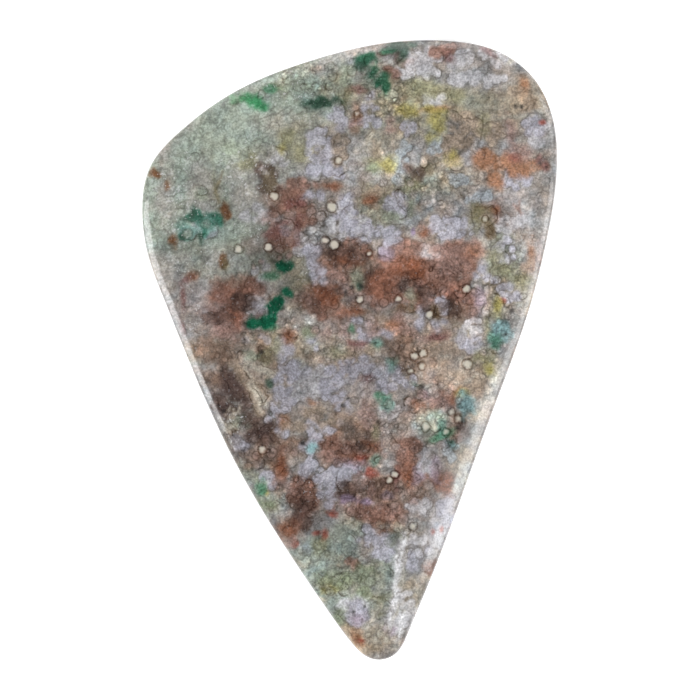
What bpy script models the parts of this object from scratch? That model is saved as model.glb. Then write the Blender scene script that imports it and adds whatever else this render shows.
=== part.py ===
# Opalized wood cabochon: one freeform polished stone, flat on the back and gently domed on the face.
# It lies on its back on the plane z = 0, with the face up, the broad end towards +Y and the pointed
# end towards -Y. Dimensions are in millimetres, and become metres where the mesh is made.

import bpy
import bmesh
import numpy as np

METRES_PER_MM = 0.001

# The outline seen from above, counter-clockwise from the pointed end.
POINTED_END = [(1.5, -22.38), (2.3, -22.5), (3.3, -22.12), (4.3, -20.5)]
RIGHT_SIDE = [(5.88, -16.72), (9.72, -6.35), (11.2, -2.4), (13.15, 3.2), (14.35, 8.0)]
BROAD_END = [(15.1, 13.6), (14.8, 16.7), (13.3, 19.8), (10.4, 21.8), (6.8, 22.45), (2.5, 22.25),
             (-2.9, 20.95), (-8.0, 18.9), (-12.3, 15.85), (-14.5, 13.2), (-15.05, 10.1)]
LEFT_SIDE = [(-14.6, 6.8), (-13.4, 3.5), (-11.25, -1.8), (-8.06, -8.63), (-4.9, -13.97),
             (-1.55, -18.97), (0.05, -21.15)]
OUTLINE = POINTED_END + RIGHT_SIDE + BROAD_END + LEFT_SIDE

# The edge, from the back up: a small bevel, a narrow upright girdle, and a wall that leans inwards.
BEVEL_WIDTH = 0.35
BEVEL_HEIGHT = 0.3
GIRDLE_TOP = 0.6
WALL_TOP = 3.2
WALL_LEAN = 0.08

# The face rises from the top of the wall in three steps, each a rise and how far in it takes:
# the rounded shoulder, the roll behind it, and the low crown over the middle.
FACE_STEPS = [(0.12, 0.05), (0.22, 0.6), (1.5, 7.0)]

# The lower right of the face is ground off as a shallow flank beyond a soft ridge.
FLANK_SLOPE = 0.12
FLANK_DIRECTION = (0.98, -0.2)
FLANK_DISTANCE = 6.62
FLANK_SOFTNESS = 0.3
FLANK_STARTS_AT_Y = 3.0
FLANK_FULL_AT_Y = -9.0

# How finely the solid is cut.
SAMPLES_PER_SPAN = 60
POINTS_ROUND = 124
EXTRA_POINTS_PER_RADIAN = 4.0
WALL_FRACTIONS = (0.5, 1.0)
SHOULDER_INSETS = (0.03, 0.08, 0.16, 0.3, 0.5, 0.8)
FACE_FRACTIONS = (0.92, 0.83, 0.72, 0.6, 0.47, 0.34, 0.21, 0.1)
CROWN = (1.0, 5.0)


def smooth_loop(points, per_span):
    """Closed curve with continuous bend through the points, per_span samples from each to the next."""
    points = np.array(points)
    count = len(points)
    chord = np.linalg.norm(np.roll(points, -1, axis=0) - points, axis=1)
    system = np.zeros((count, count))
    right = np.zeros((count, 2))
    for i in range(count):
        after_i = (i + 1) % count
        before, after = chord[i - 1], chord[i]
        system[i, i - 1] = after
        system[i, i] = 2 * (before + after)
        system[i, after_i] = before
        slope_before = (points[i] - points[i - 1]) / before
        slope_after = (points[after_i] - points[i]) / after
        right[i] = 3 * (after * slope_before + before * slope_after)
    slope = np.linalg.solve(system, right)
    t = (np.arange(per_span) / per_span)[:, None]
    spans = []
    for i in range(count):
        after_i = (i + 1) % count
        spans.append((2 * t**3 - 3 * t**2 + 1) * points[i] + (3 * t**2 - 2 * t**3) * points[after_i]
                     + chord[i] * ((t**3 - 2 * t**2 + t) * slope[i] + (t**3 - t**2) * slope[after_i]))
    return np.vstack(spans)


def outward(curve):
    """Unit normals that point out of a closed counter-clockwise curve."""
    along = np.roll(curve, -1, axis=0) - np.roll(curve, 1, axis=0)
    along /= np.linalg.norm(along, axis=1)[:, None]
    return np.stack([along[:, 1], -along[:, 0]], axis=1)


def spread_round(curve, count, extra_per_radian):
    """Picks count points round a closed curve, closer together where it bends, and their normals."""
    normal = outward(curve)
    step = np.linalg.norm(np.roll(curve, -1, axis=0) - curve, axis=1)
    turn = np.arccos(np.clip((normal * np.roll(normal, -1, axis=0)).sum(axis=1), -1, 1))
    position = np.concatenate([[0], np.cumsum(step + extra_per_radian * turn)])
    wanted = np.arange(count) * position[-1] / count
    values = np.hstack([curve, normal])
    values = np.vstack([values, values[:1]])
    picked = np.stack([np.interp(wanted, position, column) for column in values.T], axis=1)
    return picked[:, :2], picked[:, 2:] / np.linalg.norm(picked[:, 2:], axis=1)[:, None]


def smooth_distance(places, curve):
    """Distance in from the outline: exact beside a straight side, and rounded over the middle."""
    step = np.linalg.norm(np.roll(curve, -1, axis=0) - curve, axis=1)
    middle = (curve + np.roll(curve, -1, axis=0)) / 2
    square = ((places[:, None, :] - middle[None, :, :]) ** 2).sum(axis=2)
    return (np.pi / 2 / (step / square**2).sum(axis=1)) ** (1 / 3)


def face_height(places, curve):
    """Height of the polished face over points (x, y)."""
    inwards = np.maximum(smooth_distance(places, curve) - WALL_LEAN, 0)
    height = WALL_TOP + sum(rise * (1 - np.exp(-inwards / reach)) for rise, reach in FACE_STEPS)
    beyond = (places @ np.array(FLANK_DIRECTION) - FLANK_DISTANCE) / FLANK_SOFTNESS
    fall = FLANK_SLOPE * FLANK_SOFTNESS * np.logaddexp(0, beyond)
    fade = np.clip((places[:, 1] - FLANK_STARTS_AT_Y) / (FLANK_FULL_AT_Y - FLANK_STARTS_AT_Y), 0, 1)
    return height - fall * fade * fade * (3 - 2 * fade)


def stone_rings():
    """Rings of (x, y, z) points from the edge of the back, up the wall and in over the face."""
    curve = smooth_loop(OUTLINE, SAMPLES_PER_SPAN)
    edge, normal = spread_round(curve, POINTS_ROUND, EXTRA_POINTS_PER_RADIAN)

    def ring(places, height):
        return np.column_stack([places, np.broadcast_to(height, len(places))])

    rings = [ring(edge - BEVEL_WIDTH * normal, 0.0), ring(edge, BEVEL_HEIGHT), ring(edge, GIRDLE_TOP)]
    wall_top = edge - WALL_LEAN * normal
    wall_height = face_height(wall_top, curve)
    for fraction in WALL_FRACTIONS:
        rings.append(ring(edge - WALL_LEAN * fraction**2 * normal,
                          GIRDLE_TOP + fraction * (wall_height - GIRDLE_TOP)))
    for inset in SHOULDER_INSETS:
        places = wall_top - inset * normal
        rings.append(ring(places, face_height(places, curve)))
    innermost = places
    for fraction in FACE_FRACTIONS:
        places = np.array(CROWN) + fraction * (innermost - np.array(CROWN))
        rings.append(ring(places, face_height(places, curve)))
    return rings, np.append(CROWN, face_height(np.array([CROWN]), curve))


def build_stone():
    """The whole stone as one closed mesh: a flat back, bands of quads, and a fan at the crown."""
    rings, crown = stone_rings()
    bm = bmesh.new()
    loops = [[bm.verts.new(point * METRES_PER_MM) for point in ring] for ring in rings]
    bm.faces.new(reversed(loops[0]))
    for lower, upper in zip(loops, loops[1:]):
        for i in range(POINTS_ROUND):
            j = (i + 1) % POINTS_ROUND
            bm.faces.new((lower[i], lower[j], upper[j], upper[i]))
    top = bm.verts.new(crown * METRES_PER_MM)
    for i in range(POINTS_ROUND):
        bm.faces.new((loops[-1][i], loops[-1][(i + 1) % POINTS_ROUND], top))
    bmesh.ops.triangulate(bm, faces=bm.faces[:])
    mesh = bpy.data.meshes.new("cabochon")
    bm.to_mesh(mesh)
    bm.free()
    mesh.shade_smooth()
    mesh.set_sharp_from_angle(angle=np.radians(35))
    return mesh


def polished_stone():
    """Mottled grey-brown silica with a high polish."""
    material = bpy.data.materials.new("polished_stone")
    material.use_nodes = True
    shader = material.node_tree.nodes["Principled BSDF"]
    shader.inputs["Base Color"].default_value = (0.3, 0.27, 0.25, 1.0)
    shader.inputs["Roughness"].default_value = 0.1
    shader.inputs["Metallic"].default_value = 0.0
    return material


def main():
    for old in list(bpy.data.objects):
        bpy.data.objects.remove(old, do_unlink=True)
    stone = bpy.data.objects.new("cabochon", build_stone())
    stone.data.materials.append(polished_stone())
    bpy.context.scene.collection.objects.link(stone)


main()
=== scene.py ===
# Opalized wood cabochon: a polished freeform stone that lies on its flat back under a camera that looks
# straight down. Dimensions are in millimetres and become metres where meshes, lights and the camera are
# made. The stone's minerals are laid out as patches, at places in the photograph's pixels.

import bpy
import numpy as np
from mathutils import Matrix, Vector
from mathutils.geometry import delaunay_2d_cdt


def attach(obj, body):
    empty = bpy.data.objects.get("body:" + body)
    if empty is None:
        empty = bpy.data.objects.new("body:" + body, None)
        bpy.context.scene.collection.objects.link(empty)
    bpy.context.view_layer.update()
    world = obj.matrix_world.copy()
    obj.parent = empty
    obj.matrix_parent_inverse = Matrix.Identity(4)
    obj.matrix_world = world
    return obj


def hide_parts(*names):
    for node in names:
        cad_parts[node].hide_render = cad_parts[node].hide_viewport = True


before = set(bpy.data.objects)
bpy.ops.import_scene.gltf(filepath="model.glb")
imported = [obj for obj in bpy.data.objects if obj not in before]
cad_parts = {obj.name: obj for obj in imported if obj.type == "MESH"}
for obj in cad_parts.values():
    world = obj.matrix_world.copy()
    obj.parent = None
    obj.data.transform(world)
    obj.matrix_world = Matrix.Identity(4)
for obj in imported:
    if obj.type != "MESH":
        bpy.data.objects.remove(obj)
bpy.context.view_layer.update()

METRES_PER_MM = 0.001

# The outline seen from above, counter-clockwise from the pointed end.
POINTED_END = [(1.5, -22.38), (2.3, -22.5), (3.3, -22.12), (4.3, -20.5)]
RIGHT_SIDE = [(5.88, -16.72), (9.72, -6.35), (11.2, -2.4), (13.15, 3.2), (14.35, 8.0)]
BROAD_END = [(15.1, 13.6), (14.8, 16.7), (13.3, 19.8), (10.4, 21.8), (6.8, 22.45), (2.5, 22.25),
             (-2.9, 20.95), (-8.0, 18.9), (-12.3, 15.85), (-14.5, 13.2), (-15.05, 10.1)]
LEFT_SIDE = [(-14.6, 6.8), (-13.4, 3.5), (-11.25, -1.8), (-8.06, -8.63), (-4.9, -13.97),
             (-1.55, -18.97), (0.05, -21.15)]
OUTLINE = POINTED_END + RIGHT_SIDE + BROAD_END + LEFT_SIDE

# The edge, from the back up, and the face, as in the solid.
BEVEL_WIDTH = 0.35
BEVEL_HEIGHT = 0.3
GIRDLE_TOP = 0.6
WALL_TOP = 3.2
WALL_LEAN = 0.08
FACE_STEPS = [(0.12, 0.05), (0.22, 0.6), (1.5, 7.0)]
FLANK_SLOPE = 0.12
FLANK_DIRECTION = (0.98, -0.2)
FLANK_DISTANCE = 6.62
FLANK_SOFTNESS = 0.3
FLANK_STARTS_AT_Y = 3.0
FLANK_FULL_AT_Y = -9.0

# How finely the visible stone is cut. The face is a square grid, and the edge is a stack of rings.
SAMPLES_PER_SPAN = 60
POINTS_ROUND = 1040
EXTRA_POINTS_PER_RADIAN = 2.0
WALL_FRACTIONS = (0.2, 0.4, 0.6, 0.8, 1.0)
SHOULDER_INSETS = (0.02, 0.045, 0.075, 0.11, 0.15, 0.2, 0.27, 0.36, 0.46, 0.57, 0.68)
FACE_GRID = 0.108
BACK_GRID = 0.3

# How far the grid stays from its border, in grid steps, and how many distances are worked out together.
GRID_CLEARANCE = 0.6
PLACES_AT_ONCE = 2000

# The photograph's frame: where the middle of the stone is, in pixels, and the size of a pixel.
PICTURE_SIZE = 700
STONE_MIDDLE = (349.3, 349.7)
STONE_LENGTH = 45.0
STONE_LENGTH_IN_PIXELS = 619.5
MM_PER_PIXEL = STONE_LENGTH / STONE_LENGTH_IN_PIXELS


# The form of the stone

def smooth_loop(points, per_span):
    """Closed curve with continuous bend through the points, per_span samples from each to the next."""
    points = np.array(points)
    count = len(points)
    chord = np.linalg.norm(np.roll(points, -1, axis=0) - points, axis=1)
    system = np.zeros((count, count))
    right = np.zeros((count, 2))
    for i in range(count):
        after_i = (i + 1) % count
        before, after = chord[i - 1], chord[i]
        system[i, i - 1] = after
        system[i, i] = 2 * (before + after)
        system[i, after_i] = before
        slope_before = (points[i] - points[i - 1]) / before
        slope_after = (points[after_i] - points[i]) / after
        right[i] = 3 * (after * slope_before + before * slope_after)
    slope = np.linalg.solve(system, right)
    t = (np.arange(per_span) / per_span)[:, None]
    spans = []
    for i in range(count):
        after_i = (i + 1) % count
        spans.append((2 * t**3 - 3 * t**2 + 1) * points[i] + (3 * t**2 - 2 * t**3) * points[after_i]
                     + chord[i] * ((t**3 - 2 * t**2 + t) * slope[i] + (t**3 - t**2) * slope[after_i]))
    return np.vstack(spans)


def outward(curve):
    """Unit normals that point out of a closed counter-clockwise curve."""
    along = np.roll(curve, -1, axis=0) - np.roll(curve, 1, axis=0)
    along /= np.linalg.norm(along, axis=1)[:, None]
    return np.stack([along[:, 1], -along[:, 0]], axis=1)


def spread_round(curve, count, extra_per_radian):
    """Picks count points round a closed curve, closer together where it bends, and their normals."""
    normal = outward(curve)
    step = np.linalg.norm(np.roll(curve, -1, axis=0) - curve, axis=1)
    turn = np.arccos(np.clip((normal * np.roll(normal, -1, axis=0)).sum(axis=1), -1, 1))
    position = np.concatenate([[0], np.cumsum(step + extra_per_radian * turn)])
    wanted = np.arange(count) * position[-1] / count
    values = np.hstack([curve, normal])
    values = np.vstack([values, values[:1]])
    picked = np.stack([np.interp(wanted, position, column) for column in values.T], axis=1)
    return picked[:, :2], picked[:, 2:] / np.linalg.norm(picked[:, 2:], axis=1)[:, None]


def smooth_distance(places, curve):
    """Distance in from the outline: exact beside a straight side, and rounded over the middle."""
    step = np.linalg.norm(np.roll(curve, -1, axis=0) - curve, axis=1)
    middle = (curve + np.roll(curve, -1, axis=0)) / 2
    result = []
    for part in np.array_split(places, max(1, len(places) // PLACES_AT_ONCE)):
        square = ((part[:, None, :] - middle[None, :, :]) ** 2).sum(axis=2)
        result.append((np.pi / 2 / (step / square**2).sum(axis=1)) ** (1 / 3))
    return np.concatenate(result)


def face_height(places, curve):
    """Height of the polished face over points (x, y)."""
    inwards = np.maximum(smooth_distance(places, curve) - WALL_LEAN, 0)
    height = WALL_TOP + sum(rise * (1 - np.exp(-inwards / reach)) for rise, reach in FACE_STEPS)
    beyond = (places @ np.array(FLANK_DIRECTION) - FLANK_DISTANCE) / FLANK_SOFTNESS
    fall = FLANK_SLOPE * FLANK_SOFTNESS * np.logaddexp(0, beyond)
    fade = np.clip((places[:, 1] - FLANK_STARTS_AT_Y) / (FLANK_FULL_AT_Y - FLANK_STARTS_AT_Y), 0, 1)
    return height - fall * fade * fade * (3 - 2 * fade)


def edge_rings(curve):
    """Rings of (x, y, z) from the edge of the back to the inside of the shoulder, and their normals."""
    edge, normal = spread_round(curve, POINTS_ROUND, EXTRA_POINTS_PER_RADIAN)

    def ring(places, height):
        return np.column_stack([places, np.broadcast_to(height, len(places))])

    rings = [ring(edge - BEVEL_WIDTH * normal, 0.0), ring(edge, BEVEL_HEIGHT), ring(edge, GIRDLE_TOP)]
    wall_top = edge - WALL_LEAN * normal
    wall_height = face_height(wall_top, curve)
    for fraction in WALL_FRACTIONS:
        rings.append(ring(edge - WALL_LEAN * fraction**2 * normal,
                          GIRDLE_TOP + fraction * (wall_height - GIRDLE_TOP)))
    for inset in SHOULDER_INSETS:
        places = wall_top - inset * normal
        rings.append(ring(places, face_height(places, curve)))
    return rings, normal


def within(places, loop):
    """Which places are inside a closed loop."""
    result = np.zeros(len(places), bool)
    for (x1, y1), (x2, y2) in zip(loop, np.roll(loop, -1, axis=0)):
        crosses = (places[:, 1] < y1) != (places[:, 1] < y2)
        if y1 != y2:
            result ^= crosses & (places[:, 0] < x1 + (places[:, 1] - y1) * (x2 - x1) / (y2 - y1))
    return result


def open_sides(faces):
    """The sides that only one face has, as pairs of corners in that face's order."""
    sides = {}
    for face in faces:
        for a, b in zip(face, face[1:] + face[:1]):
            if (b, a) in sides:
                del sides[b, a]
            else:
                sides[a, b] = True
    return list(sides)


def fill_loop(loop, spacing):
    """Fills a closed loop with a square grid and a strip of triangles between the grid and the loop.

    Returns the grid's places and the faces, whose numbers count the loop's points first.
    """
    low, high = loop.min(axis=0), loop.max(axis=0)
    columns, rows = np.ceil((high - low) / spacing).astype(int) + 1
    i, j = np.meshgrid(np.arange(columns), np.arange(rows), indexing="ij")
    grid = low + np.stack([i, j], axis=-1) * spacing
    clear = nearest(grid.reshape(-1, 2), loop) > GRID_CLEARANCE * spacing
    far_in = within(grid.reshape(-1, 2), loop) & clear
    usable = far_in.reshape(columns, rows)
    square = usable[:-1, :-1] & usable[1:, :-1] & usable[1:, 1:] & usable[:-1, 1:]
    used = np.zeros_like(usable)
    for di in (0, 1):
        for dj in (0, 1):
            used[di:columns - 1 + di, dj:rows - 1 + dj] |= square
    number = np.full(usable.shape, -1)
    number[used] = len(loop) + np.arange(used.sum())
    ci, cj = np.nonzero(square)
    corners = [number[ci, cj], number[ci + 1, cj], number[ci + 1, cj + 1], number[ci, cj + 1]]
    faces = np.stack(corners, axis=1).tolist()

    sides = open_sides(faces)
    places = np.vstack([loop, grid[used]])
    rim = sorted({a for side in sides for a in side})
    strip = list(range(len(loop))) + rim
    short = {number: k for k, number in enumerate(strip)}
    borders = [(k, (k + 1) % len(loop)) for k in range(len(loop))]
    borders += [(short[a], short[b]) for a, b in sides]
    points = [Vector(place) for place in places[strip]]
    _, _, triangles, original, _, _ = delaunay_2d_cdt(points, borders, [], 0, 1e-7)
    triangles = [[strip[original[corner][0]] for corner in triangle] for triangle in triangles]
    middle = np.array([places[triangle].mean(axis=0) for triangle in triangles])
    cell = np.clip(((middle - low) / spacing).astype(int), 0, [columns - 2, rows - 2])
    kept = within(middle, loop) & ~square[cell[:, 0], cell[:, 1]]
    faces += [triangle for triangle, keep in zip(triangles, kept) if keep]
    return grid[used], faces


def nearest(places, loop):
    """Distance from each place to the nearest point of a finely sampled loop."""
    result = []
    for part in np.array_split(places, max(1, len(places) // PLACES_AT_ONCE)):
        result.append(np.sqrt(((part[:, None, :] - loop[None, :, :]) ** 2).sum(axis=2).min(axis=1)))
    return np.concatenate(result)


# The minerals

# Farther than any distance that matters, in pixels, and how many cells the noise has before it repeats.
FAR = 99.0
NOISE_CELLS = 128

# Names of the minerals' colours, as sRGB values from 0 to 255.
TONES = {
    "sage": (151, 160, 148), "sage_blue": (140, 153, 145), "pale_green": (166, 177, 156),
    "moss": (134, 145, 116), "grey": (150, 146, 143), "pink_grey": (163, 152, 148),
    "warm_grey": (160, 157, 151), "olive_grey": (150, 147, 128), "olive": (138, 136, 106),
    "olive_brown": (118, 106, 82), "taupe": (153, 138, 126), "beige": (168, 156, 138),
    "tan": (174, 155, 136), "cream": (214, 208, 193), "lavender": (177, 176, 189), "pale": (195, 194, 199),
    "pale_blue": (164, 174, 182), "lilac": (167, 151, 166), "violet": (150, 132, 164),
    "rose": (158, 130, 122), "rose_brown": (143, 108, 95), "red_brown": (128, 86, 72),
    "brown": (125, 104, 92), "dark_brown": (88, 70, 64), "rust": (132, 82, 60), "orange": (158, 108, 78),
    "red": (152, 78, 66), "maroon": (116, 76, 74), "pink": (172, 144, 136), "yellow": (170, 160, 92),
    "emerald": (20, 92, 66), "green": (76, 124, 96), "leaf": (58, 134, 86), "sea_green": (50, 110, 90),
    "dark_green": (56, 78, 66), "teal": (100, 146, 132), "cyan": (142, 178, 182), "ink": (50, 48, 48),
    "grey_green": (140, 146, 134), "white": (226, 226, 228), "bright": (207, 206, 212), "pine": (36, 84, 62),
    "pale_warm": (188, 186, 176), "dusk": (78, 64, 62), "clay": (160, 106, 84), "fawn": (160, 144, 128),
    "umber": (108, 70, 46), "bark": (104, 84, 62),
}


def lattice(places, scale, seed):
    """Smooth noise from -1 to 1 whose bumps are scale pixels wide."""
    table = np.random.default_rng(seed).uniform(-1, 1, (NOISE_CELLS, NOISE_CELLS))
    at = places / scale + 1000
    cell = np.floor(at).astype(int)
    part = at - cell
    part = part * part * (3 - 2 * part)
    i, j = cell[:, 0] % NOISE_CELLS, cell[:, 1] % NOISE_CELLS
    i2, j2 = (i + 1) % NOISE_CELLS, (j + 1) % NOISE_CELLS
    low = table[i, j] * (1 - part[:, 0]) + table[i2, j] * part[:, 0]
    high = table[i, j2] * (1 - part[:, 0]) + table[i2, j2] * part[:, 0]
    return low * (1 - part[:, 1]) + high * part[:, 1]


def cloud(places, scale, seed, octaves=3):
    """Layers of smooth noise, each half as wide and half as strong as the one before."""
    total = np.zeros(len(places))
    turn = np.array([[0.8, -0.6], [0.6, 0.8]])
    at = places
    for octave in range(octaves):
        total += lattice(at, scale / 2**octave, seed + octave) / 2**octave
        at = at @ turn
    return total / (2 - 0.5 ** (octaves - 1))


def wander(places, reach, scale, seed):
    """The places, moved about by up to reach pixels."""
    return places + reach * np.column_stack([cloud(places, scale, seed), cloud(places, scale, seed + 50)])


def scatter(spacing, seed, sizes):
    """Bubbles on a jittered grid: their middles, their radii and three random numbers for each."""
    side = int(PICTURE_SIZE / spacing) + 2
    rng = np.random.default_rng(seed)
    middle = (np.stack(np.indices((side, side)), axis=-1) + rng.uniform(0, 1, (side, side, 2))) * spacing
    radius = rng.uniform(*sizes, (side, side)) * spacing
    return middle, radius, rng.uniform(0, 1, (side, side, 3))


def bubbles(places, spacing, scattered, chance):
    """The bubbles near each place, of those whose chance beats their first random number.

    Returns the distance out of the nearest bubble, below 0 inside it, how far the border with the next
    bubble is, and the nearest bubble's random numbers.
    """
    middle, radius, dice = scattered
    side = len(radius)
    radius = np.where(chance.reshape(side, side) > dice[..., 0], radius, -FAR)
    cell = np.floor(places / spacing).astype(int)
    out = np.full(len(places), FAR)
    second = np.full(len(places), FAR)
    random = np.zeros((len(places), 3))
    for di in (-1, 0, 1):
        for dj in (-1, 0, 1):
            i, j = np.clip(cell[:, 0] + di, 0, side - 1), np.clip(cell[:, 1] + dj, 0, side - 1)
            away = np.hypot(*(places - middle[i, j]).T) - radius[i, j]
            nearer = away < out
            second = np.where(nearer, out, np.minimum(second, away))
            out[nearer] = away[nearer]
            random[nearer] = dice[i, j][nearer]
    return out, (second - out) / 2, random


def smooth_step(low, high, value):
    """0 below low and 1 above high, with a smooth climb between them."""
    t = np.clip((value - low) / (high - low), 0, 1)
    return t * t * (3 - 2 * t)


def inside(places, patch, soft, rough):
    """How far a place is in a patch, 0 to 1: x, y, half length, half width, turn (degrees anticlockwise)."""
    x, y, length, width, *turn = patch
    angle = np.radians(turn[0] if turn else 0)
    dx, dy = places[:, 0] - x, -(places[:, 1] - y)
    along = dx * np.cos(angle) + dy * np.sin(angle)
    across = dy * np.cos(angle) - dx * np.sin(angle)
    out = (np.hypot(along / length, across / width) - 1) * min(length, width) + rough
    return 1 - smooth_step(-soft, soft, out)


# The ground, and a painted reflection along the right edge: tone, strength, softness of the border in pixels,
# and the patches.
GROUND_AND_EDGE_REFLECTION = [
    ("sage", 1.0, 18, [(200, 165, 90, 105), (225, 230, 50, 55), (295, 92, 62, 38)]),
    ("sage_blue", 0.5, 10, [(200, 225, 40, 24), (185, 178, 26, 30), (255, 122, 26, 20), (280, 110, 20, 20)]),
    ("warm_grey", 0.85, 10, [
        (250, 200, 20, 26), (270, 158, 16, 14), (238, 176, 10, 14), (172, 130, 26, 12, 38),
        (205, 195, 16, 30), (262, 175, 26, 22), (168, 200, 10, 26), (225, 262, 24, 14), (290, 128, 26, 12),
        (170, 262, 12, 22, -70)]),
    ("pink_grey", 0.8, 9, [
        (258, 246, 16, 10), (200, 300, 14, 24), (188, 310, 8, 30, -80), (160, 150, 8, 14, 50),
        (325, 70, 14, 8)]),
    ("olive_grey", 0.8, 12, [
        (395, 105, 60, 34), (300, 140, 26, 22), (378, 208, 24, 22), (420, 190, 34, 20), (345, 82, 20, 14),
        (470, 104, 40, 14), (500, 262, 18, 30), (280, 262, 24, 20), (298, 285, 16, 22),
        (210, 350, 8, 40, -75)]),
    ("grey", 0.8, 10, [
        (474, 64, 30, 20), (508, 74, 20, 18), (325, 205, 26, 22), (335, 245, 14, 8), (375, 150, 16, 8),
        (520, 205, 30, 26), (440, 212, 26, 18), (310, 392, 26, 30), (380, 420, 30, 18)]),
    ("beige", 0.8, 10, [
        (382, 142, 24, 18), (528, 98, 18, 24, -60), (438, 232, 10, 8), (520, 300, 12, 40, 80),
        (300, 350, 22, 14), (330, 348, 22, 14), (470, 365, 30, 26), (455, 345, 26, 26), (376, 316, 24, 10),
        (505, 118, 22, 10), (450, 168, 24, 12, -20)]),
    ("taupe", 0.85, 9, [
        (358, 108, 10, 16), (440, 355, 30, 26), (440, 380, 26, 14), (405, 328, 22, 12), (345, 360, 30, 12),
        (475, 400, 14, 22), (345, 425, 20, 20), (395, 412, 24, 18), (305, 300, 12, 10), (270, 345, 20, 24),
        (240, 350, 22, 18), (255, 375, 18, 18), (300, 420, 26, 16), (400, 345, 18, 20), (455, 425, 18, 14),
        (236, 430, 14, 14)]),
    ("pink_grey", 0.8, 8, [
        (510, 215, 16, 16), (500, 200, 30, 8), (425, 235, 14, 6), (470, 310, 14, 16), (430, 410, 24, 16),
        (425, 470, 18, 24), (420, 440, 24, 12), (435, 510, 20, 18), (380, 455, 16, 12), (370, 475, 16, 12),
        (375, 390, 24, 12), (385, 435, 16, 10)]),
    ("rose", 0.85, 9, [
        (345, 268, 22, 18), (380, 290, 26, 20), (430, 290, 24, 22), (455, 262, 24, 20), (290, 240, 14, 12),
        (350, 330, 10, 6), (226, 330, 16, 10), (400, 325, 18, 12), (440, 398, 14, 10), (300, 500, 18, 18),
        (355, 455, 30, 10), (375, 500, 34, 20)]),
    ("rose_brown", 0.85, 9, [
        (398, 262, 30, 18), (420, 276, 28, 16), (455, 258, 24, 14), (440, 282, 24, 14), (372, 284, 14, 16),
        (328, 262, 14, 16), (322, 300, 18, 12), (340, 312, 18, 10), (332, 450, 30, 12), (405, 460, 14, 18),
        (380, 512, 34, 14), (285, 200, 18, 12), (300, 216, 14, 12), (280, 240, 12, 14), (280, 530, 10, 14),
        (305, 490, 14, 18)]),
    ("red_brown", 0.8, 9, [
        (236, 298, 26, 20), (228, 315, 20, 12), (280, 470, 7, 18), (460, 300, 16, 16), (296, 515, 12, 16)]),
    ("brown", 0.85, 8, [
        (212, 350, 12, 22, 80), (213, 375, 8, 20, 80), (265, 435, 20, 14), (245, 460, 14, 14),
        (270, 460, 20, 12), (345, 432, 16, 12), (365, 440, 16, 10), (385, 492, 34, 14), (348, 488, 12, 12),
        (340, 405, 6, 6), (360, 262, 16, 20), (346, 255, 26, 10), (300, 445, 20, 8), (330, 500, 8, 10),
        (400, 350, 12, 20), (455, 312, 16, 12)]),
    ("sage", 0.8, 9, [
        (330, 560, 26, 34, -30), (345, 535, 18, 18), (310, 575, 14, 40, 35), (340, 600, 26, 16),
        (270, 505, 18, 12), (395, 560, 14, 18), (430, 420, 14, 16), (262, 495, 8, 16)]),
    ("grey_green", 0.8, 8, [
        (385, 575, 14, 20), (400, 535, 14, 10), (250, 475, 14, 10), (395, 600, 22, 10), (320, 545, 14, 12),
        (240, 420, 14, 12)]),
    ("grey", 0.75, 8, [
        (200, 412, 8, 12), (282, 520, 12, 14), (320, 520, 14, 12), (425, 520, 18, 16), (300, 460, 16, 8),
        (385, 460, 12, 10), (436, 452, 16, 12)]),
    # The pale_warm bands and the lavender band, turned to 70 degrees along the right edge, are painted
    # reflection: a pale sheen over the flank.
    ("pale_warm", 0.8, 5, [(484, 402, 46, 8, 70), (459, 480, 34, 6, 70), (520, 308, 10, 6, 70)]),
    ("lavender", 0.6, 6, [(446, 520, 24, 9, 70)]),
    ("beige", 0.9, 7, [(371, 638, 25, 17), (412, 592, 12, 20, -20), (352, 628, 16, 8), (460, 455, 12, 14)]),
]

# Where the whole stone is darker or lighter: the factor, and the patches.
SHADES = [
    (0.8, [(273, 250, 24, 22), (470, 430, 8, 10)]),
    (0.87, [
        (232, 205, 40, 26), (262, 275, 50, 34), (192, 268, 20, 30), (358, 374, 48, 20), (290, 376, 26, 24)]),
    (0.92, [
        (316, 508, 30, 34), (235, 330, 26, 24), (433, 486, 12, 30), (315, 408, 30, 14), (350, 535, 24, 20),
        (270, 170, 14, 24), (300, 292, 40, 20), (396, 290, 20, 20), (510, 128, 18, 18), (411, 466, 8, 22),
        (280, 530, 14, 16)]),
    (1.06, [
        (330, 60, 50, 12, 12), (400, 90, 40, 16), (235, 120, 30, 20, 30), (400, 600, 16, 26),
        (312, 565, 22, 20), (395, 415, 20, 12), (230, 170, 14, 14)]),
    (1.12, [
        (390, 50, 26, 12), (436, 92, 22, 18), (394, 492, 26, 28), (390, 250, 26, 16), (350, 592, 24, 16),
        (500, 62, 34, 20, -25), (515, 165, 22, 30), (360, 165, 30, 14), (484, 290, 16, 50),
        (430, 235, 24, 20), (474, 336, 18, 18), (390, 450, 16, 10)]),
    (1.2, [
        (520, 260, 14, 40), (348, 48, 50, 10, 8), (394, 170, 20, 18), (186, 92, 26, 14, 38),
        (424, 256, 18, 10)]),
    (1.28, [(438, 378, 20, 18), (428, 412, 14, 14)]),
]

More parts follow.
